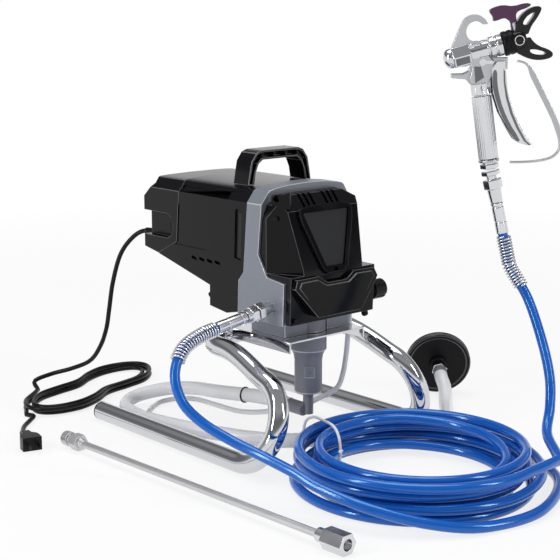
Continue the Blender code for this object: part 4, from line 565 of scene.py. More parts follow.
carry(suction_hose, "machine", "clear_hose", "suction_hose")
return_r = 0.0035
return_knots = [
    (0.0715, -0.0020, 0.1717), (0.0715, -0.0020, 0.1500), (0.0705, -0.0006, 0.1326),
    (0.0667, -0.0011, 0.1050), (0.0583, -0.0030, 0.0787), (0.0480, -0.0010, 0.0624),
    (0.0245, 0.0125, 0.0495), (0.0165, 0.0300, 0.0360), (0.0125, 0.0600, 0.0300),
    (0.0110, 0.1000, 0.0160), (0.0090, 0.1500, 0.0060), (0.0080, 0.2050, 0.0042),
    (0.0050, 0.2400, 0.0042), (-0.0120, 0.2600, 0.0042), (-0.0400, 0.2630, 0.0042),
    (-0.0650, 0.2500, 0.0042), (-0.0800, 0.2380, 0.0042)]
return_tube = round_cord("milky_return_tube", smooth_route(return_knots, 0.005), return_r, pvc, 4)
carry(return_tube, "machine", "clear_hose", "return_tube")

chrome = moulded("bright_chrome", (0.64, 0.65, 0.67), 0.06, 120.0, 0.000004, cloud=14.0, shift=0.04,
                 metallic=1.0, spread=0.03)
satin = moulded("satin_black_moulding", (0.005, 0.005, 0.006), 0.36, 900.0, 0.00006, cloud=9.0,
                shift=0.25, shine=0.15)
filter_place = z_along(filter_face, filter_way)
hub = turned("filter_swivel_nut", [(0.0104, -0.0200), (0.0114, -0.0193), (0.0114, -0.0127),
                                   (0.0104, -0.0120)], filter_place, 6)
settle(round_edges(hub, 0.0003), "machine", "chrome", chrome, "filter_nut")
neck = turned("filter_neck", [(0.0092, -0.0118), (0.0092, -0.0040), (0.0120, -0.0030), (0.0128, -0.0002)],
              filter_place)
settle(round_edges(neck, 0.0004), "machine", "black_satin", satin)
sleeve = turned("filter_hose_sleeve", [(0.0088, -0.0206), (0.0098, -0.0210), (0.0098, -0.0330),
                                       (0.0088, -0.0334)], filter_place)
smoky = moulded("smoky_hose_sleeve", (0.16, 0.165, 0.17), 0.30, 500.0, 0.00004, cloud=90.0, shift=0.3)
settle(sleeve, "machine", "clear_hose", smoky)
strainer = turned("filter_strainer", [
    (0.0405, 0.0012), (0.0415, 0.0002), (0.0455, 0.0002), (filter_r, 0.0014), (filter_r, 0.0040),
    (0.0464, 0.0044), (0.0464, 0.0056), (filter_r, 0.0060), (filter_r, 0.0105), (0.0440, 0.0135),
    (0.0330, 0.0150), (0.0310, 0.0138), (0.0120, 0.0138), (0.0110, 0.0150), (0.0010, 0.0150)
], filter_place, 72)
# A light grey for the rounds of black pieces: a painted highlight along their edges, as lamps would give.
black_edge_painted_highlight = moulded("painted_highlight_black_edge", (0.12, 0.121, 0.126), 0.12, 90.0, 0.00002, shift=0.1, spread=0.04,
                     shine=0.8)
settle(round_edges(strainer, 0.0004), "machine", "black_satin", satin, "suction_filter", edge=black_edge_painted_highlight)
steel = moulded("satin_steel", (0.50, 0.51, 0.53), 0.32, 900.0, 0.00002, cloud=40.0, metallic=1.0)
finish_solid("tube_clip", "machine", "steel", steel, 0.0001)


# --- Mains cord and plug -------------------------------------------------------------------
# Black rubber mains lead. From the strain relief it falls to the floor behind the machine, lies
# there in a loose waisted hank and ends in a moulded two-blade plug. A thin ring of the same
# rubber sits on the suction hose.
cord_r = 0.0032
rubber = moulded("black_rubber", (0.005, 0.005, 0.006), 0.36, 600.0, 0.00005, cloud=20.0, shift=0.2,
                 shine=0.2)
hank_place = Matrix.Translation((-0.075, 0.385, cord_r + gap)) @ Matrix.Rotation(math.radians(22.0), 4, 'Z')
hank = wound_line(turns=3.1, layers=2, half_length=0.140, half_width=0.062, step_in=0.019,
                  rise=2 * cord_r + 0.0006, waist=0.42, start_deg=200.0)
hank = with_straight_ends([hank_place @ Vector((p.x, -p.y, p.z)) for p in hank], 2 * cord_r)
top_way = (hank[-1] - hank[-2]).normalized()
hank_top = hank[-1] + top_way * gap
low_way = (hank[0] - hank[1]).normalized()
hank_low = hank[0] + low_way * gap
plug_rear = Vector((-0.2785, 0.2380, 0.0098))
plug_way = Vector((-0.27, -0.963, 0.0)).normalized()
tail = plug_rear - plug_way * gap
cord_z = cord_r + gap
relief_at = Vector((-0.050, 0.247, 0.250))
cord_knots = [
    (-0.050, 0.2390, 0.250), (-0.050, 0.2785, 0.250), (-0.0600, 0.2950, 0.2400),
    (-0.0740, 0.3060, 0.2160), (-0.0820, 0.3150, 0.1760), (-0.0862, 0.3200, 0.1360),
    (-0.0868, 0.3270, 0.1080), (-0.0860, 0.3440, 0.0790), (-0.0870, 0.3700, 0.0520),
    (-0.0980, 0.4010, 0.0360), (-0.1180, 0.4260, 0.0260), (-0.1420, 0.4340, 0.0180),
    hank_top + top_way * 0.014, hank_top]
lead_knots = [tail, tail - plug_way * 0.014, (-0.2620, 0.2720, 0.0050), (-0.2450, 0.2950, cord_z),
              (-0.2250, 0.3130, cord_z), (-0.2110, 0.3270, cord_z), hank_low + low_way * 0.012, hank_low]
cord_step = 0.005
cord_line = smooth_route(cord_knots, cord_step)
cord_line += smooth_route(hank, cord_step)[-2::-1]
cord_line += smooth_route(lead_knots, cord_step)[-2::-1]
mains = round_cord("rubber_mains_lead", cord_line, cord_r, rubber, 4)
carry(mains, "machine", "cord_black", "mains_cord", "cord_hank", "cord_lead")
ring = turned("hose_ring", [(0.0094, -0.0009), (0.0110, -0.0009), (0.0110, 0.0009), (0.0094, 0.0009)],
              z_along((-0.0138, 0.1100, 0.0427), (-0.0040, 0.0175, -0.0012)), 32)
settle(round_edges(ring, 0.0004), "machine", "cord_black", rubber)
plug = finish_solid("mains_plug", "machine", "cord_black", rubber, 0.0012, 3)


# --- Stand and bracket ---------------------------------------------------------------------
# One-inch chromed tube bent into two skids, two curls and a crossbar, with plastic end caps,
# and a pressed chrome channel bolted on the crossbar that carries the pump and the gearbox.
stand_r = 0.0127                                        # of the tube
skid_x, skid_rear, skid_length = 0.143, 0.260, 0.290
curl_r = 0.049
curl_lean = 0.366                                       # how far the curl leans inwards as it rises
curl_turn = 0.9                                         # the curl goes through this share of a half circle
curl_y = skid_rear - skid_length
bar_y, bar_z, bar_bend_r = 0.0487, 0.135, 0.047         # the crossbar's bend behind the pump
bend_x = 0.102
half = [Vector((skid_x, skid_rear - skid_length * k / 2, stand_r)) for k in range(3)]
for k in range(1, 30):
    angle = math.pi * curl_turn * k / 29
    z = stand_r + curl_r * (1 - math.cos(angle))
    half.append(Vector((skid_x - curl_lean * (z - stand_r), curl_y - curl_r * math.sin(angle), z)))
bend_start = Vector((bend_x, bar_y, bar_z))
curl_end, run = half[-1], (bend_start - half[-1]).length
slope = Vector((0, -math.cos(angle), math.sin(angle))) * run
for k in range(1, 14):
    t = k / 14
    half.append(curl_end * (1 + 2 * t) * (1 - t) ** 2 + slope * t * (1 - t) ** 2
                + bend_start * t ** 2 * (3 - 2 * t) - Vector((0, run, 0)) * t ** 2 * (1 - t))
for k in range(17):
    angle = math.pi / 2 * k / 16
    half.append(Vector((bend_x - bar_bend_r * (1 - math.cos(angle)), bar_y + bar_bend_r * math.sin(angle),
                        bar_z)))
other_half = [Vector((-p.x, p.y, p.z)) for p in reversed(half)]
tube = swept("bent_chrome_tube", half + other_half, stand_r, chrome, 8)
bpy.ops.object.shade_smooth_by_angle(angle=math.radians(40))
settle(tube, "machine", "chrome", chrome, "stand_tube")
for side in ("left", "right"):
    finish_solid("skid_cap_" + side, "machine", "black_satin", satin, 0.0006)
    finish_solid("bracket_bolt_" + side, "machine", "zinc", zinc, 0.0005)
finish_solid("stand_bracket", "machine", "chrome", chrome, 0.0006)


# --- Pump ----------------------------------------------------------------------------------
# Cast pump cylinder under the gearbox: a broad collar against the bracket, a slim body, and at
# its foot the inlet barrel that the suction hose pushes on to. A small embossed pad is cast on it.
def plate(name, outline, low, high, place):
    """A flat plate: a circle primitive pulled to an outline and extruded from low to high."""
    bpy.ops.object.select_all(action='DESELECT')
    bpy.ops.mesh.primitive_circle_add(vertices=len(outline), fill_type='NGON', location=(0, 0, 0))
    piece = bpy.context.active_object
    piece.name = name
    for corner, (a, b) in zip(piece.data.vertices, outline):
        corner.co = (a, b, low)
    bpy.ops.object.mode_set(mode='EDIT')
    bpy.ops.mesh.select_all(action='SELECT')
    bpy.ops.mesh.extrude_region_move(TRANSFORM_OT_translate={"value": (0, 0, high - low)})
    bpy.ops.mesh.select_all(action='SELECT')
    bpy.ops.mesh.normals_make_consistent(inside=False)
    bpy.ops.object.mode_set(mode='OBJECT')
    piece.data.transform(machine @ place)
    return piece


def both_sides(right):
    """The closed outline whose right half is given, and whose left half mirrors it."""
    return right + [(-x, y) for x, y in reversed(right)]


def block(name, low, high, place=Matrix()):
    """A box from one corner to the other."""
    outline = [(low[0], low[1]), (high[0], low[1]), (high[0], high[1]), (low[0], high[1])]
    return plate(name, outline, low[2], high[2], place)


def joined(first, *others):
    """Several pieces of one part as a single object."""
    bpy.ops.object.select_all(action='DESELECT')
    for piece in (first, *others):
        piece.select_set(True)
    bpy.context.view_layer.objects.active = first
    bpy.ops.object.join()
    return first


# A light grey for the rounds of grey castings: a painted highlight along their edges.
grey_edge_painted_highlight = moulded("painted_highlight_grey_edge", (0.60, 0.62, 0.66), 0.30, 380.0, 0.00006, cloud=10.0, shift=0.08,
                    metallic=0.3)
casting = moulded("grey_pump_casting", (0.200, 0.210, 0.240), 0.40, 420.0, 0.00016, cloud=22.0,
                  shift=0.12, metallic=0.25)
finish_solid("pump_cylinder", "machine", "cast_grey", casting, 0.0008, edge=grey_edge_painted_highlight)
pad_place = z_along((-0.01115, -0.0142, 0.09815), (-0.6665, -0.7455, 0.0), (0, 0, 1))
pad = block("pump_pad", (-0.0077, -0.0070, -0.0040), (0.0077, 0.0070, 0.0005), pad_place)
cut(pad, block("pad_field", (-0.0064, -0.0057, 0.0000), (0.0064, 0.0057, 0.0020), pad_place))
raised = block("pad_relief", (-0.0040, -0.0036, -0.0020), (0.0040, 0.0036, 0.0005), pad_place)
for piece in (pad, raised):
    settle(round_edges(piece, 0.0003), "machine", "cast_grey", casting, edge=grey_edge_painted_highlight)
finish_solid("suction_inlet", "machine", "cast_grey", casting, 0.0008, edge=grey_edge_painted_highlight)
finish_solid("pump_head", "machine", "dark_grey", casting, 0.0006, edge=grey_edge_painted_highlight)


# --- Gearbox frame -------------------------------------------------------------------------
# The grey painted casting that everything hangs on: a broad foot with the outlet in its side
# and a band that rises behind the front cover and goes over the top.
paint = moulded("grey_casting_paint", (0.215, 0.232, 0.268), 0.38, 380.0, 0.00018, cloud=10.0, shift=0.07,
                metallic=0.25)
finish_solid("gear_frame", "machine", "cast_grey", paint, 0.0012, edge=grey_edge_painted_highlight)


# --- Front cover ---------------------------------------------------------------------------
# Gloss black moulding over the gears. A raised shield frames a matt panel, six slots breathe on
# its brow, and a V-shaped chin with a second raised V laps over its lower edge.
from_front = Matrix.Rotation(math.radians(90), 4, 'X')  # for x, z outlines, extruded to the front
from_left = Matrix(((0, 0, 1, 0), (1, 0, 0, 0), (0, 1, 0, 0), (0, 0, 0, 1)))    # for y, z outlines
gloss = moulded("gloss_black_moulding", (0.003, 0.003, 0.004), 0.13, 90.0, 0.00003, shift=0.2,
                spread=0.04, shine=0.16)
matt = moulded("matt_grey_panel", (0.020, 0.0205, 0.0215), 0.50, 700.0, 0.00004, cloud=12.0, shine=0.2)
cover_lean = math.atan2(0.019, 0.071)                   # its face leans back 19 mm over 71 mm of height
cover_face = Matrix.Translation((0, -0.0355, 0.2755)) @ Matrix.Rotation(math.radians(90) - cover_lean, 4, 'X')
cover = round_edges(from_solid("front_cover"), 0.0024, 3, 24.0)
brow_slot = [(0.0005, 0.3340), (-0.0165, 0.3340), (-0.0300, 0.3150), (-0.0210, 0.3110)]
slot_half = 0.0021
for x in (-0.029, -0.020, -0.011, 0.011, 0.020, 0.029):
    cut(cover, plate("brow_slot", brow_slot, x - slot_half, x + slot_half, from_left))
rim = plate("shield_rim", both_sides([(0.0250, 0.0415), (0.0415, 0.0385), (0.0455, 0.0330), (0.0430, 0.0200),
                                      (0.0215, -0.0385), (0.0150, -0.0450)]), -0.0030, 0.0046, cover_face)
cut(cover, round_edges(rim, 0.0016, 3, painted_highlight=False), 'UNION')
seat_outline = both_sides([(0.0366, 0.0334), (0.0388, 0.0312), (0.0163, -0.0337), (0.0137, -0.0364)])
cut(cover, plate("shield_seat", seat_outline, 0.0, 0.02, cover_face))
cut(cover, block("shield_notch", (-0.0032, -0.0432, 0.0), (0.0032, -0.0385, 0.02), cover_face))
boss_place = z_along((-0.0656, -0.0135, 0.3271), (-0.9008, -0.4342, 0.0), (0, 0, 1))
boss = plate("screw_boss", [(0.0036, 0.0075), (0.0089, -0.0171), (-0.0130, -0.0171), (-0.0084, 0.0075)],
             -0.0060, 0.0022, boss_place)
cut(cover, round_edges(boss, 0.0016, 3, painted_highlight=False), 'UNION')
cut(cover, turned("boss_bore", [(0.0040, -0.0050), (0.0048, 0.0100)], boss_place, 24))
settle(round_edges(cover, 0.0009), "machine", "black_gloss", gloss, "front_cover", edge=black_edge_painted_highlight)
finish_solid("badge_panel", "machine", "dark_grey", matt, 0.0006)
chin = from_solid("chin_cover")
chin_v = both_sides([(0.0345, 0.1870), (0.0640, 0.2210), (0.0600, 0.2270), (0.0335, 0.2275),
                     (0.0190, 0.2190)])
cut(chin, plate("chin_v", chin_v, 0.0500, 0.0640, from_front), 'UNION')
chin_slope = [(-0.0780, 0.1650), (-0.0600, 0.1650), (-0.0522, 0.2380), (-0.0780, 0.2380)]
cut(chin, plate("chin_slope", chin_slope, -0.09, 0.09, from_left))
settle(round_edges(chin, 0.0012, 3, 20.0), "machine", "black_gloss", gloss, "chin_cover", edge=black_edge_painted_highlight)
for spot in ("top", "bottom"):
    finish_solid("cover_screw_" + spot, "machine", "zinc", satin, 0.0004)


# --- Motor housing and rear cap ------------------------------------------------------------
# Black nylon shell round the motor, with a groove along each shoulder, a sunk panel, a tall
# slot and a row of cooling slots in each side, and a rear cap with the brush holders. The motor,
# its gear and the piston run inside.
shell = moulded("black_nylon_shell", (0.004, 0.004, 0.005), 0.22, 500.0, 0.00003, shift=0.2, spread=0.05,
                shine=0.18)
panel_outline = [(0.1800, 0.3030), (0.0830, 0.2915), (0.0815, 0.2885), (0.1120, 0.2470), (0.1800, 0.2470)]
slot_outline = [(0.0415, 0.3080), (0.0530, 0.3080), (0.0550, 0.3050), (0.0575, 0.2450), (0.0445, 0.2430)]
inset_outline = [(0.0430, 0.3040), (0.0495, 0.3040), (0.0515, 0.2470), (0.0455, 0.2455)]
tab_outline = [(0.1060, 0.1960), (0.1145, 0.1900), (0.1120, 0.1860), (0.1060, 0.1850)]
vent_count, vent_start, vent_pitch, vent_length = 4, 0.0860, 0.0160, 0.0105
outside = 0.0900                                        # past the shell's flanks


def side_plate(name, outline, side, inner, outer):
    """A plate on the left (-1) or right (1) flank, between two distances from the middle."""
    near, far = sorted((side * inner, side * outer))
    return plate(name, outline, near, far, from_left)


housing = from_solid("motor_housing")
for side in (-1, 1):
    groove = [(side * 0.0738, 0.3171), (side * 0.0674, 0.3261), (side * 0.0723, 0.3296),
              (side * 0.0800, 0.3220)]
    cut(housing, plate("shoulder_groove", groove, -0.1660, -0.0690, from_front))
    cut(housing, side_plate("sunk_panel", panel_outline, side, 0.0734, outside))
    cut(housing, side_plate("tall_slot", slot_outline, side, 0.0728, outside))
    for k in range(vent_count):
        y = vent_start + vent_pitch * k
        vent = [(y, 0.2310), (y + vent_length, 0.2330), (y + vent_length, 0.2370), (y, 0.2352)]
        cut(housing, side_plate("cooling_slot", vent, side, 0.0660, outside))
settle(round_edges(housing, 0.0013, 3, 26.0), "machine", "black_satin", shell, "motor_housing",
       edge=black_edge_painted_highlight)
for side in (-1, 1):
    inset = side_plate("slot_inset", inset_outline, side, 0.0722, 0.0740)
    settle(round_edges(inset, 0.0004), "machine", "dark_grey", matt)
    tab = side_plate("cover_tab", tab_outline, side, 0.0600, 0.0725)
    settle(round_edges(tab, 0.0006), "machine", "black_satin", shell)
finish_solid("rear_cap", "machine", "black_satin", shell, 0.0013, 3, 26.0, edge=black_edge_painted_highlight)
for side in ("left", "right"):
    finish_solid("brush_cap_" + side, "machine", "black_satin", satin, 0.0004)
copper = moulded("wound_copper", (0.55, 0.27, 0.12), 0.35, 1200.0, 0.0001, metallic=1.0)
for node, body, slot, material in (("motor_stator", "machine", "steel", steel),
                                   ("motor_armature", "rotor", "copper", copper),
                                   ("cooling_fan", "rotor", "dark_grey", matt),
                                   ("crank_gear", "crank", "steel", steel),
                                   ("piston_rod", "piston", "steel", steel)):
    finish_solid(node, body, slot, material, 0.0003, 1)


# --- Carry handle --------------------------------------------------------------------------
# Broad black hoop bolted across the top of the housing, hollowed on its front face between two
# flanges, with thin ribs across the hollow.
handle = from_solid("carry_handle")
hollow = both_sides([(0.0310, 0.3752), (0.0385, 0.3722), (0.0455, 0.3635), (0.0480, 0.3500), (0.0520, 0.3330),
                     (0.0475, 0.3330), (0.0435, 0.3500), (0.0385, 0.3620), (0.0310, 0.3686)])
cut(handle, plate("handle_hollow", hollow, -0.0640, -0.0500, from_front))
settle(round_edges(handle, 0.0012, 3, 26.0), "machine", "black_satin", shell, "carry_handle", edge=black_edge_painted_highlight)
rib_half = 0.0008
for x in (-0.030, -0.010, 0.010, 0.030):
    rib = block("handle_rib", (x - rib_half, 0.3680, -0.0645), (x + rib_half, 0.3762, -0.0550), from_front)
    settle(rib, "machine", "black_satin", shell)


# --- Controls and outlet -------------------------------------------------------------------
# Fluted pressure knob and prime valve lever on the right, rocker switch under the motor, the
# plated outlet and its nut on the left, and the ribbed rubber sleeve where the mains lead comes
# out of the rear cap.
for node, body, slot, material, width in (("pressure_knob", "knob", "black_satin", satin, 0.0006),
                                          ("prime_valve_body", "machine", "zinc", zinc, 0.0004),
                                          ("prime_valve_handle", "prime_lever", "black_satin", satin, 0.0006),
                                          ("power_switch", "switch_rocker", "black_gloss", gloss, 0.0005),
                                          ("outlet_nipple", "machine", "zinc", zinc, 0.0005),
                                          ("hose_swivel_nut", "machine", "zinc", zinc, 0.0006)):
    finish_solid(node, body, slot, material, width)
relief_rings = [(0.0080, 0.0003), (0.0085, 0.0010), (0.0085, 0.0030)]
for k in range(4):
    rib_r, z = 0.0068 - 0.0004 * k, 0.0040 + 0.0044 * k
    groove_r = rib_r - 0.0014
    relief_rings += [(rib_r, z), (rib_r - 0.0002, z + 0.0022), (groove_r, z + 0.0026), (groove_r, z + 0.0040)]
relief_rings += [(0.0052, 0.0216), (0.0048, 0.0290), (0.0040, 0.0300)]
relief = turned("ribbed_strain_relief", relief_rings, z_along(relief_at, (0, 1, 0)), 28)
settle(round_edges(relief, 0.0002), "machine", "black_satin", rubber, "strain_relief")


# --- Spray gun -----------------------------------------------------------------------------
# Cast and polished aluminium gun: a flat hook and tail, a hexagonal needle housing, a round
# front, a fluted grip, a long trigger inside a strap, and a reversible tip in a black guard.
polished = moulded("polished_gun_casting", (0.66, 0.67, 0.69), 0.13, 160.0, 0.00008, cloud=35.0,
                   shift=0.06, metallic=1.0, spread=0.05)
blasted = moulded("blasted_gun_casting", (0.55, 0.56, 0.58), 0.34, 900.0, 0.00006, cloud=35.0, shift=0.10,
                  metallic=0.9)
# Dark metal for thin plates on the bright gun: painted dark reflections on its polished casting.
dark_reflection_paint = moulded("painted_dark_reflection", (0.16, 0.16, 0.17), 0.22, 500.0, 0.00003, cloud=30.0, shift=0.25,
                    metallic=1.0)
plum = moulded("plum_tip_handle", (0.070, 0.018, 0.066), 0.30, 500.0, 0.00005, cloud=20.0)
nozzle_tilt = math.radians(15.4)
nozzle = gun_place @ z_along((0, 0.0113, 0), (math.cos(nozzle_tilt), math.sin(nozzle_tilt), 0), (0, 1, 0))
grip_foot = gun_place @ z_along(grip_top, grip_way, (0, 0, 1))


def bowed(outline):
    """The outline with each corner cut off, a quarter of the way along its two sides."""
    return [tuple(Vector(a).lerp(Vector(b), t)) for a, b in zip(outline, outline[1:] + outline[:1])
            for t in (0.25, 0.75)]


def mirrored_at(depth, thickness):
    """The near and the far side of the gun, as pairs of heights off its middle plane."""
    return ((depth - thickness, depth), (-depth, thickness - depth))


hook = plate("gun_hook", bowed([
    (-0.0368, 0.0091), (-0.0349, 0.0156), (-0.0303, 0.0273), (-0.0254, 0.0397), (-0.0209, 0.0488),
    (-0.0150, 0.0531), (-0.0069, 0.0545), (-0.0004, 0.0523), (0.0046, 0.0484), (0.0079, 0.0442),
    (0.0070, 0.0428), (0.0022, 0.0421), (-0.0010, 0.0450), (-0.0056, 0.0464), (-0.0108, 0.0455),
    (-0.0157, 0.0420), (-0.0181, 0.0362), (-0.0177, 0.0296), (-0.0144, 0.0247), (-0.0095, 0.0221),
    (-0.0030, 0.0234), (0.0035, 0.0182), (0.0009, 0.0052), (-0.0134, -0.0078), (-0.0303, -0.0078),
    (-0.0350, 0.0010)]), -0.0052, 0.0052, gun_place)
receiver = plate("gun_receiver", [
    (-0.0173, 0.0182), (-0.0114, 0.0208), (-0.0027, 0.0213), (0.0012, 0.0203), (0.0113, 0.0078),
    (0.0173, -0.0026), (0.0155, -0.0130), (0.0126, -0.0208), (0.0098, -0.0290), (-0.0105, -0.0290),
    (-0.0124, -0.0208), (-0.0105, -0.0104), (-0.0134, -0.0039)], -0.0085, 0.0085, gun_place)
tail = plate("gun_tail", [
    (-0.0351, -0.0161), (-0.0345, -0.0216), (-0.0178, -0.0229), (-0.0144, -0.0254), (-0.0120, -0.0290),
    (-0.0004, -0.0290), (-0.0004, -0.0104), (-0.0121, -0.0078), (-0.0147, -0.0130), (-0.0212, -0.0159)
], -0.0055, 0.0055, gun_place)
lug = block("trigger_lug", (0.0120, -0.0110, -0.0060), (0.0330, 0.0035, 0.0060), gun_place)
body = joined(round_edges(hook, 0.0010, 2), round_edges(receiver, 0.0016, 3), round_edges(tail, 0.0014, 3),
              round_edges(lug, 0.0012, 2))
settle(body, "gun", "aluminium", blasted, "gun_body")
hexagon = turned("needle_housing", [(0.0126, -0.0355), (0.0140, -0.0343), (0.0140, -0.0137),
                                    (0.0126, -0.0125)], nozzle, 6)
cone = turned("needle_cap", [(0.0118, -0.0352), (0.0122, -0.0362), (0.0116, -0.0400), (0.0094, -0.0432),
                             (0.0050, -0.0452), (0.0020, -0.0455)], nozzle)
front = turned("gun_front", [
    (0.0112, -0.0130), (0.0115, -0.0120), (0.0115, 0.0080), (0.0108, 0.0090), (0.0108, 0.0105),
    (0.0130, 0.0118), (0.0130, 0.0172), (0.0120, 0.0182), (0.0120, 0.0196), (0.0130, 0.0206),
    (0.0130, 0.0262), (0.0120, 0.0270)], nozzle, 48)
neck = turned("gun_neck", [(0.0070, -0.0175), (0.0100, -0.0150), (0.0112, -0.0080), (0.0118, -0.0010)],
              grip_foot, 8)
nut = turned("grip_collar", [(0.0106, -0.0158), (0.0118, -0.0148), (0.0118, -0.0016), (0.0108, -0.0006)],
             grip_foot, 6)
screw_place = gun_place @ Matrix.Translation((-0.0127, 0.0165, 0))
screw = turned("side_screw", [(0.0030, 0.0080), (0.0030, 0.0100), (0.0024, 0.0106)], screw_place, 24)
cut(screw, block("screw_slot", (-0.0034, -0.0004, 0.0098), (0.0034, 0.0004, 0.0120),
                 screw_place @ Matrix.Rotation(0.5, 4, 'Z')))
bright = joined(round_edges(hexagon, 0.0006, 2), round_edges(cone, 0.0003, 2), round_edges(front, 0.0003, 2),
                round_edges(neck, 0.0006, 2), round_edges(nut, 0.0005, 2), round_edges(screw, 0.0002, 1))
settle(bright, "gun", "aluminium", polished, "gun_body")
# Thin dark plates on both flanks of the gun body: a painted dark reflection along the receiver and painted
# shade on the neck.
reflection_line_outline = [(-0.0020, 0.0190), (0.0010, 0.0196), (0.0160, -0.0005), (0.0146, -0.0020)]
neck_painted_shade_outline = [(-0.0080, -0.0075), (0.0000, -0.0075), (0.0045, -0.0205), (-0.0062, -0.0275)]
for low, high in mirrored_at(0.0089, 0.0006):
    line = plate("receiver_painted_reflection", reflection_line_outline, low, high, gun_place)
    shade = plate("neck_painted_shade", neck_painted_shade_outline, low, high, gun_place)
    settle(joined(round_edges(line, 0.0002, 1), round_edges(shade, 0.0002, 1)), "gun", "aluminium", dark_reflection_paint)
# Thin dark plates on two faces of the hexagonal needle housing: painted dark reflections.
hex_reflection_outline = [(-0.0050, -0.0325), (0.0050, -0.0325), (0.0050, -0.0155), (-0.0050, -0.0155)]
for turn in (-120, 120):
    hex_reflection_place = nozzle @ Matrix.Rotation(math.radians(turn), 4, 'Z') @ from_left
    hex_reflection = plate("hex_painted_reflection", hex_reflection_outline, 0.01205, 0.0124, hex_reflection_place)
    settle(round_edges(hex_reflection, 0.0002, 1), "gun", "aluminium", dark_reflection_paint)

flute_count, flute_depth, flute_points = 28, 0.0007, 168
flutes = []
for k in range(flute_points):
    angle = 2 * math.pi * k / flute_points
    radius = 0.0121 - flute_depth * (1 - abs(math.sin(flute_count / 2 * angle)))
    flutes.append((radius * math.cos(angle), radius * math.sin(angle)))
sleeve = plate("fluted_sleeve", flutes, 0.0006, 0.0772, grip_foot)
band = turned("grip_band", [(0.0100, 0.0), (0.0114, 0.0008), (0.0114, 0.0772), (0.0100, 0.0780)], grip_foot)
stub = turned("grip_stub", [(0.0085, 0.0775), (0.0085, 0.0836)], grip_foot)
coupling = turned("grip_coupling", [(0.0105, 0.0836), (0.0115, 0.0843), (0.0115, 0.0892),
                                    (0.0105, 0.0898)], grip_foot, 6)
tube_end = turned("grip_tube_end", [(0.0068, 0.0890), (0.0068, 0.0899), (0.0064, 0.0900)], grip_foot)
grip = joined(round_edges(sleeve, 0.0004, 1, 60.0), band, stub, round_edges(coupling, 0.0004, 2), tube_end)
settle(grip, "gun", "aluminium", polished, "gun_grip")

strap_path = smooth_route([
    (0.0290, 0.0010, 0), (0.0451, -0.0012, 0), (0.0542, -0.0034, 0), (0.0601, -0.0091, 0),
    (0.0653, -0.0195, 0), (0.0750, -0.0377, 0), (0.0841, -0.0546, 0), (0.0932, -0.0728, 0),
    (0.0990, -0.0880, 0), (0.1010, -0.0985, 0), (0.1000, -0.1075, 0), (0.0955, -0.1145, 0),
    (0.0880, -0.1190, 0), (0.0740, -0.1222, 0), (0.0560, -0.1236, 0), (0.0400, -0.1238, 0),
    (0.0200, -0.1233, 0)], 0.003)
strap_edge_half, strap_face_half = 0.0013, 0.0019       # it is widest where it slants down the front
slant_top, slant_foot = -0.0060, -0.1080
left_edge, right_edge = [], []
for before, point, after in zip(strap_path, strap_path[1:], strap_path[2:]):
    way = (after - before).normalized()
    below_top = min(max((slant_top - point.y) / 0.010, 0.0), 1.0)
    above_foot = min(max((point.y - slant_foot) / 0.020, 0.0), 1.0)
    half = strap_edge_half + strap_face_half * below_top * above_foot
    left_edge.append((point.x - way.y * half, point.y + way.x * half))
    right_edge.append((point.x + way.y * half, point.y - way.x * half))
strap = plate("guard_strap", left_edge + right_edge[::-1], -0.0030, 0.0030, gun_place)
seat_ring = turned("guard_ring", [(0.0128, 0.0785), (0.0128, 0.0815)], grip_foot, 32)
cut(seat_ring, turned("ring_bore", [(0.0088, 0.0780), (0.0088, 0.0820)], grip_foot, 32))
settle(joined(round_edges(strap, 0.0006, 2), round_edges(seat_ring, 0.0005, 2)), "gun", "zinc", steel,
       "trigger_guard")

finish_solid("trigger", "trigger_body", "aluminium", polished, 0.0022, 3)
# Thin dark plates along the rear and the front of both trigger flanks: painted dark reflections.
for low, high in mirrored_at(0.0126, 0.0008):
    trigger_rear_reflection = plate("trigger_rear_painted_reflection", bowed([
        (0.0146, -0.0110), (0.0136, -0.0234), (0.0154, -0.0364), (0.0210, -0.0546), (0.0286, -0.0715),
        (0.0375, -0.0870), (0.0450, -0.0980), (0.0500, -0.0968), (0.0464, -0.0904), (0.0373, -0.0767),
        (0.0282, -0.0585), (0.0224, -0.0403), (0.0198, -0.0260), (0.0194, -0.0120)
    ]), low, high, gun_place)
    settle(round_edges(trigger_rear_reflection, 0.0003, 2), "trigger_body", "aluminium", dark_reflection_paint)
    trigger_front_reflection = plate("trigger_front_painted_reflection", [
        (0.0269, -0.0104), (0.0289, -0.0130), (0.0295, -0.0260), (0.0334, -0.0442), (0.0399, -0.0637),
        (0.0477, -0.0806), (0.0568, -0.0962), (0.0627, -0.1012), (0.0607, -0.1021), (0.0542, -0.0969),
        (0.0445, -0.0806), (0.0367, -0.0637), (0.0306, -0.0442), (0.0276, -0.0260)
    ], low, high, gun_place)
    settle(trigger_front_reflection, "trigger_body", "aluminium", dark_reflection_paint)
finish_solid("needle", "needle_body", "steel", steel, 0.0002)
finish_solid("trigger_lock", "lock_lever", "zinc", zinc, 0.0005)

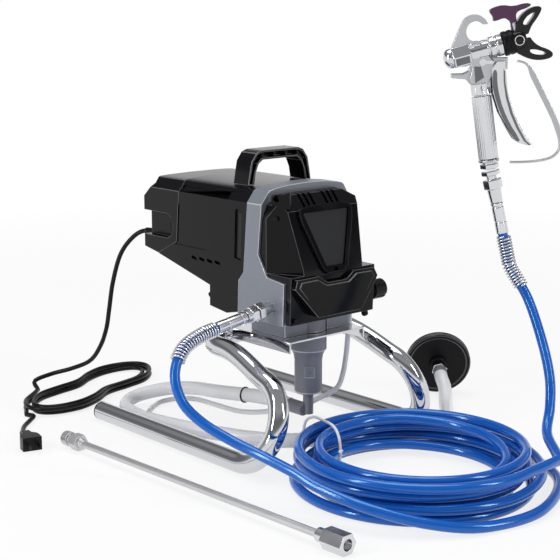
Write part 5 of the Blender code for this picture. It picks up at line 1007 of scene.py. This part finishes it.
collar = turned("tip_collar_knurled", [
    (0.0105, 0.0275), (0.0138, 0.0276), (0.0150, 0.0290), (0.0150, 0.0330), (0.0143, 0.0336),
    (0.0143, 0.0350), (0.0150, 0.0356), (0.0150, 0.0395), (0.0140, 0.0410), (0.0105, 0.0410)
], nozzle, 28)
settle(round_edges(collar, 0.0003), "gun", "black_satin", satin, "tip_collar")
guard_black = moulded("guard_black", (0.004, 0.004, 0.004), 0.22, 400.0, 0.00004, cloud=14.0, shift=0.2,
                      shine=0.35)
barrel = turned("guard_barrel", [(0.0100, 0.0413), (0.0124, 0.0416), (0.0126, 0.0440), (0.0122, 0.0500),
                                 (0.0108, 0.0535), (0.0086, 0.0563)], nozzle, 40)
ear_half = 0.0068
upper = plate("upper_ear", bowed([
    (0.0400, 0.0300), (0.0404, 0.0390), (0.0435, 0.0481), (0.0487, 0.0555), (0.0568, 0.0616),
    (0.0655, 0.0643), (0.0705, 0.0631), (0.0711, 0.0592), (0.0659, 0.0494), (0.0606, 0.0423),
    (0.0580, 0.0362), (0.0560, 0.0300)]), -ear_half, ear_half, gun_place)
cut(upper, plate("upper_window", bowed([
    (0.0490, 0.0425), (0.0508, 0.0478), (0.0556, 0.0535), (0.0640, 0.0579), (0.0617, 0.0520),
    (0.0572, 0.0455), (0.0545, 0.0415)]), -0.02, 0.02, gun_place))
lower = plate("lower_ear", bowed([
    (0.0420, 0.0180), (0.0425, 0.0090), (0.0477, 0.0065), (0.0555, 0.0026), (0.0646, 0.0002),
    (0.0750, 0.0002), (0.0845, 0.0028), (0.0872, 0.0064), (0.0858, 0.0101), (0.0800, 0.0135),
    (0.0700, 0.0168), (0.0622, 0.0225), (0.0580, 0.0290)]), -ear_half, ear_half, gun_place)
cut(lower, plate("lower_window", bowed([
    (0.0581, 0.0128), (0.0665, 0.0128), (0.0785, 0.0097), (0.0776, 0.0065), (0.0685, 0.0064),
    (0.0604, 0.0085)]), -0.02, 0.02, gun_place))
guard = joined(round_edges(barrel, 0.0004), round_edges(upper, 0.0024, 4), round_edges(lower, 0.0024, 4))
settle(guard, "guard_head", "black_satin", guard_black, "tip_guard")
tip_bore = (0.0451, 0.0237, 0)                          # the cross bore that the spray tip turns in
for turn in (180, 0):
    eye_place = gun_place @ Matrix.Translation(tip_bore) @ Matrix.Rotation(math.radians(turn), 4, 'Y')
    eye = turned("seat_eye", [(0.0088, 0.0100), (0.0088, 0.0128), (0.0070, 0.0134), (0.0066, 0.0120),
                              (0.0040, 0.0118), (0.0036, 0.0128), (0.0020, 0.0128)], eye_place, 32)
    settle(round_edges(eye, 0.0002), "guard_head", "black_satin", guard_black)
    ring = turned("seat_ring", [(0.0062, 0.0118), (0.0062, 0.0131), (0.0050, 0.0131), (0.0050, 0.0118)],
                  eye_place, 32)
    settle(round_edges(ring, 0.0002), "guard_head", "steel", chrome)
flag = plate("tip_flag", bowed([
    (0.0081, 0.0585), (0.0139, 0.0624), (0.0250, 0.0655), (0.0373, 0.0637), (0.0529, 0.0680),
    (0.0601, 0.0663), (0.0555, 0.0622), (0.0441, 0.0583), (0.0412, 0.0544), (0.0420, 0.0494),
    (0.0432, 0.0403), (0.0440, 0.0320), (0.0370, 0.0320), (0.0362, 0.0375), (0.0350, 0.0453),
    (0.0306, 0.0488), (0.0269, 0.0499), (0.0168, 0.0460), (0.0137, 0.0468), (0.0143, 0.0507)
]), -0.0030, 0.0030, gun_place)
settle(round_edges(flag, 0.0010, 3), "tip_body", "steel", plum, "spray_tip")
pin_place = gun_place @ z_along(tip_bore, (-math.sin(nozzle_tilt), math.cos(nozzle_tilt), 0), (0, 0, 1))
pin = turned("tip_pin", [(0.0036, -0.0082), (0.0040, -0.0078), (0.0040, 0.0210), (0.0034, 0.0220)],
             pin_place, 28)
settle(pin, "tip_body", "steel", steel)
cone = turned("hose_nut_taper", [(0.0068, 0.0393), (0.0078, 0.0402), (0.0088, 0.0560), (0.0096, 0.0575)],
              gun_foot)
nut = turned("hose_nut_hexagon", [(0.0108, 0.0570), (0.0118, 0.0578), (0.0118, 0.0682), (0.0108, 0.0690)],
             gun_foot, 6)
stub = turned("hose_nut_stem", [(0.0062, 0.0688), (0.0062, 0.0742)], gun_foot)
small = turned("hose_nut_small_hexagon", [(0.0105, 0.0740), (0.0115, 0.0747), (0.0115, 0.0793),
                                          (0.0105, 0.0800)], gun_foot, 6)
settle(joined(round_edges(cone, 0.0003), round_edges(nut, 0.0005), stub, round_edges(small, 0.0004)),
       "machine", "zinc", polished, "hose_nut_gun")


# --- Extension lance -----------------------------------------------------------------------
# Half a metre of plated steel tube with a hexagonal coupling nut at one end and a turned collar
# at the other, lying loose on the floor.
dull = moulded("dull_zinc", (0.62, 0.62, 0.63), 0.40, 700.0, 0.00003, cloud=25.0, shift=0.06, metallic=0.9)
finish_solid("lance_tube", "lance", "zinc", dull, 0.0005)
finish_solid("lance_nut", "lance", "zinc", zinc, 0.0005)
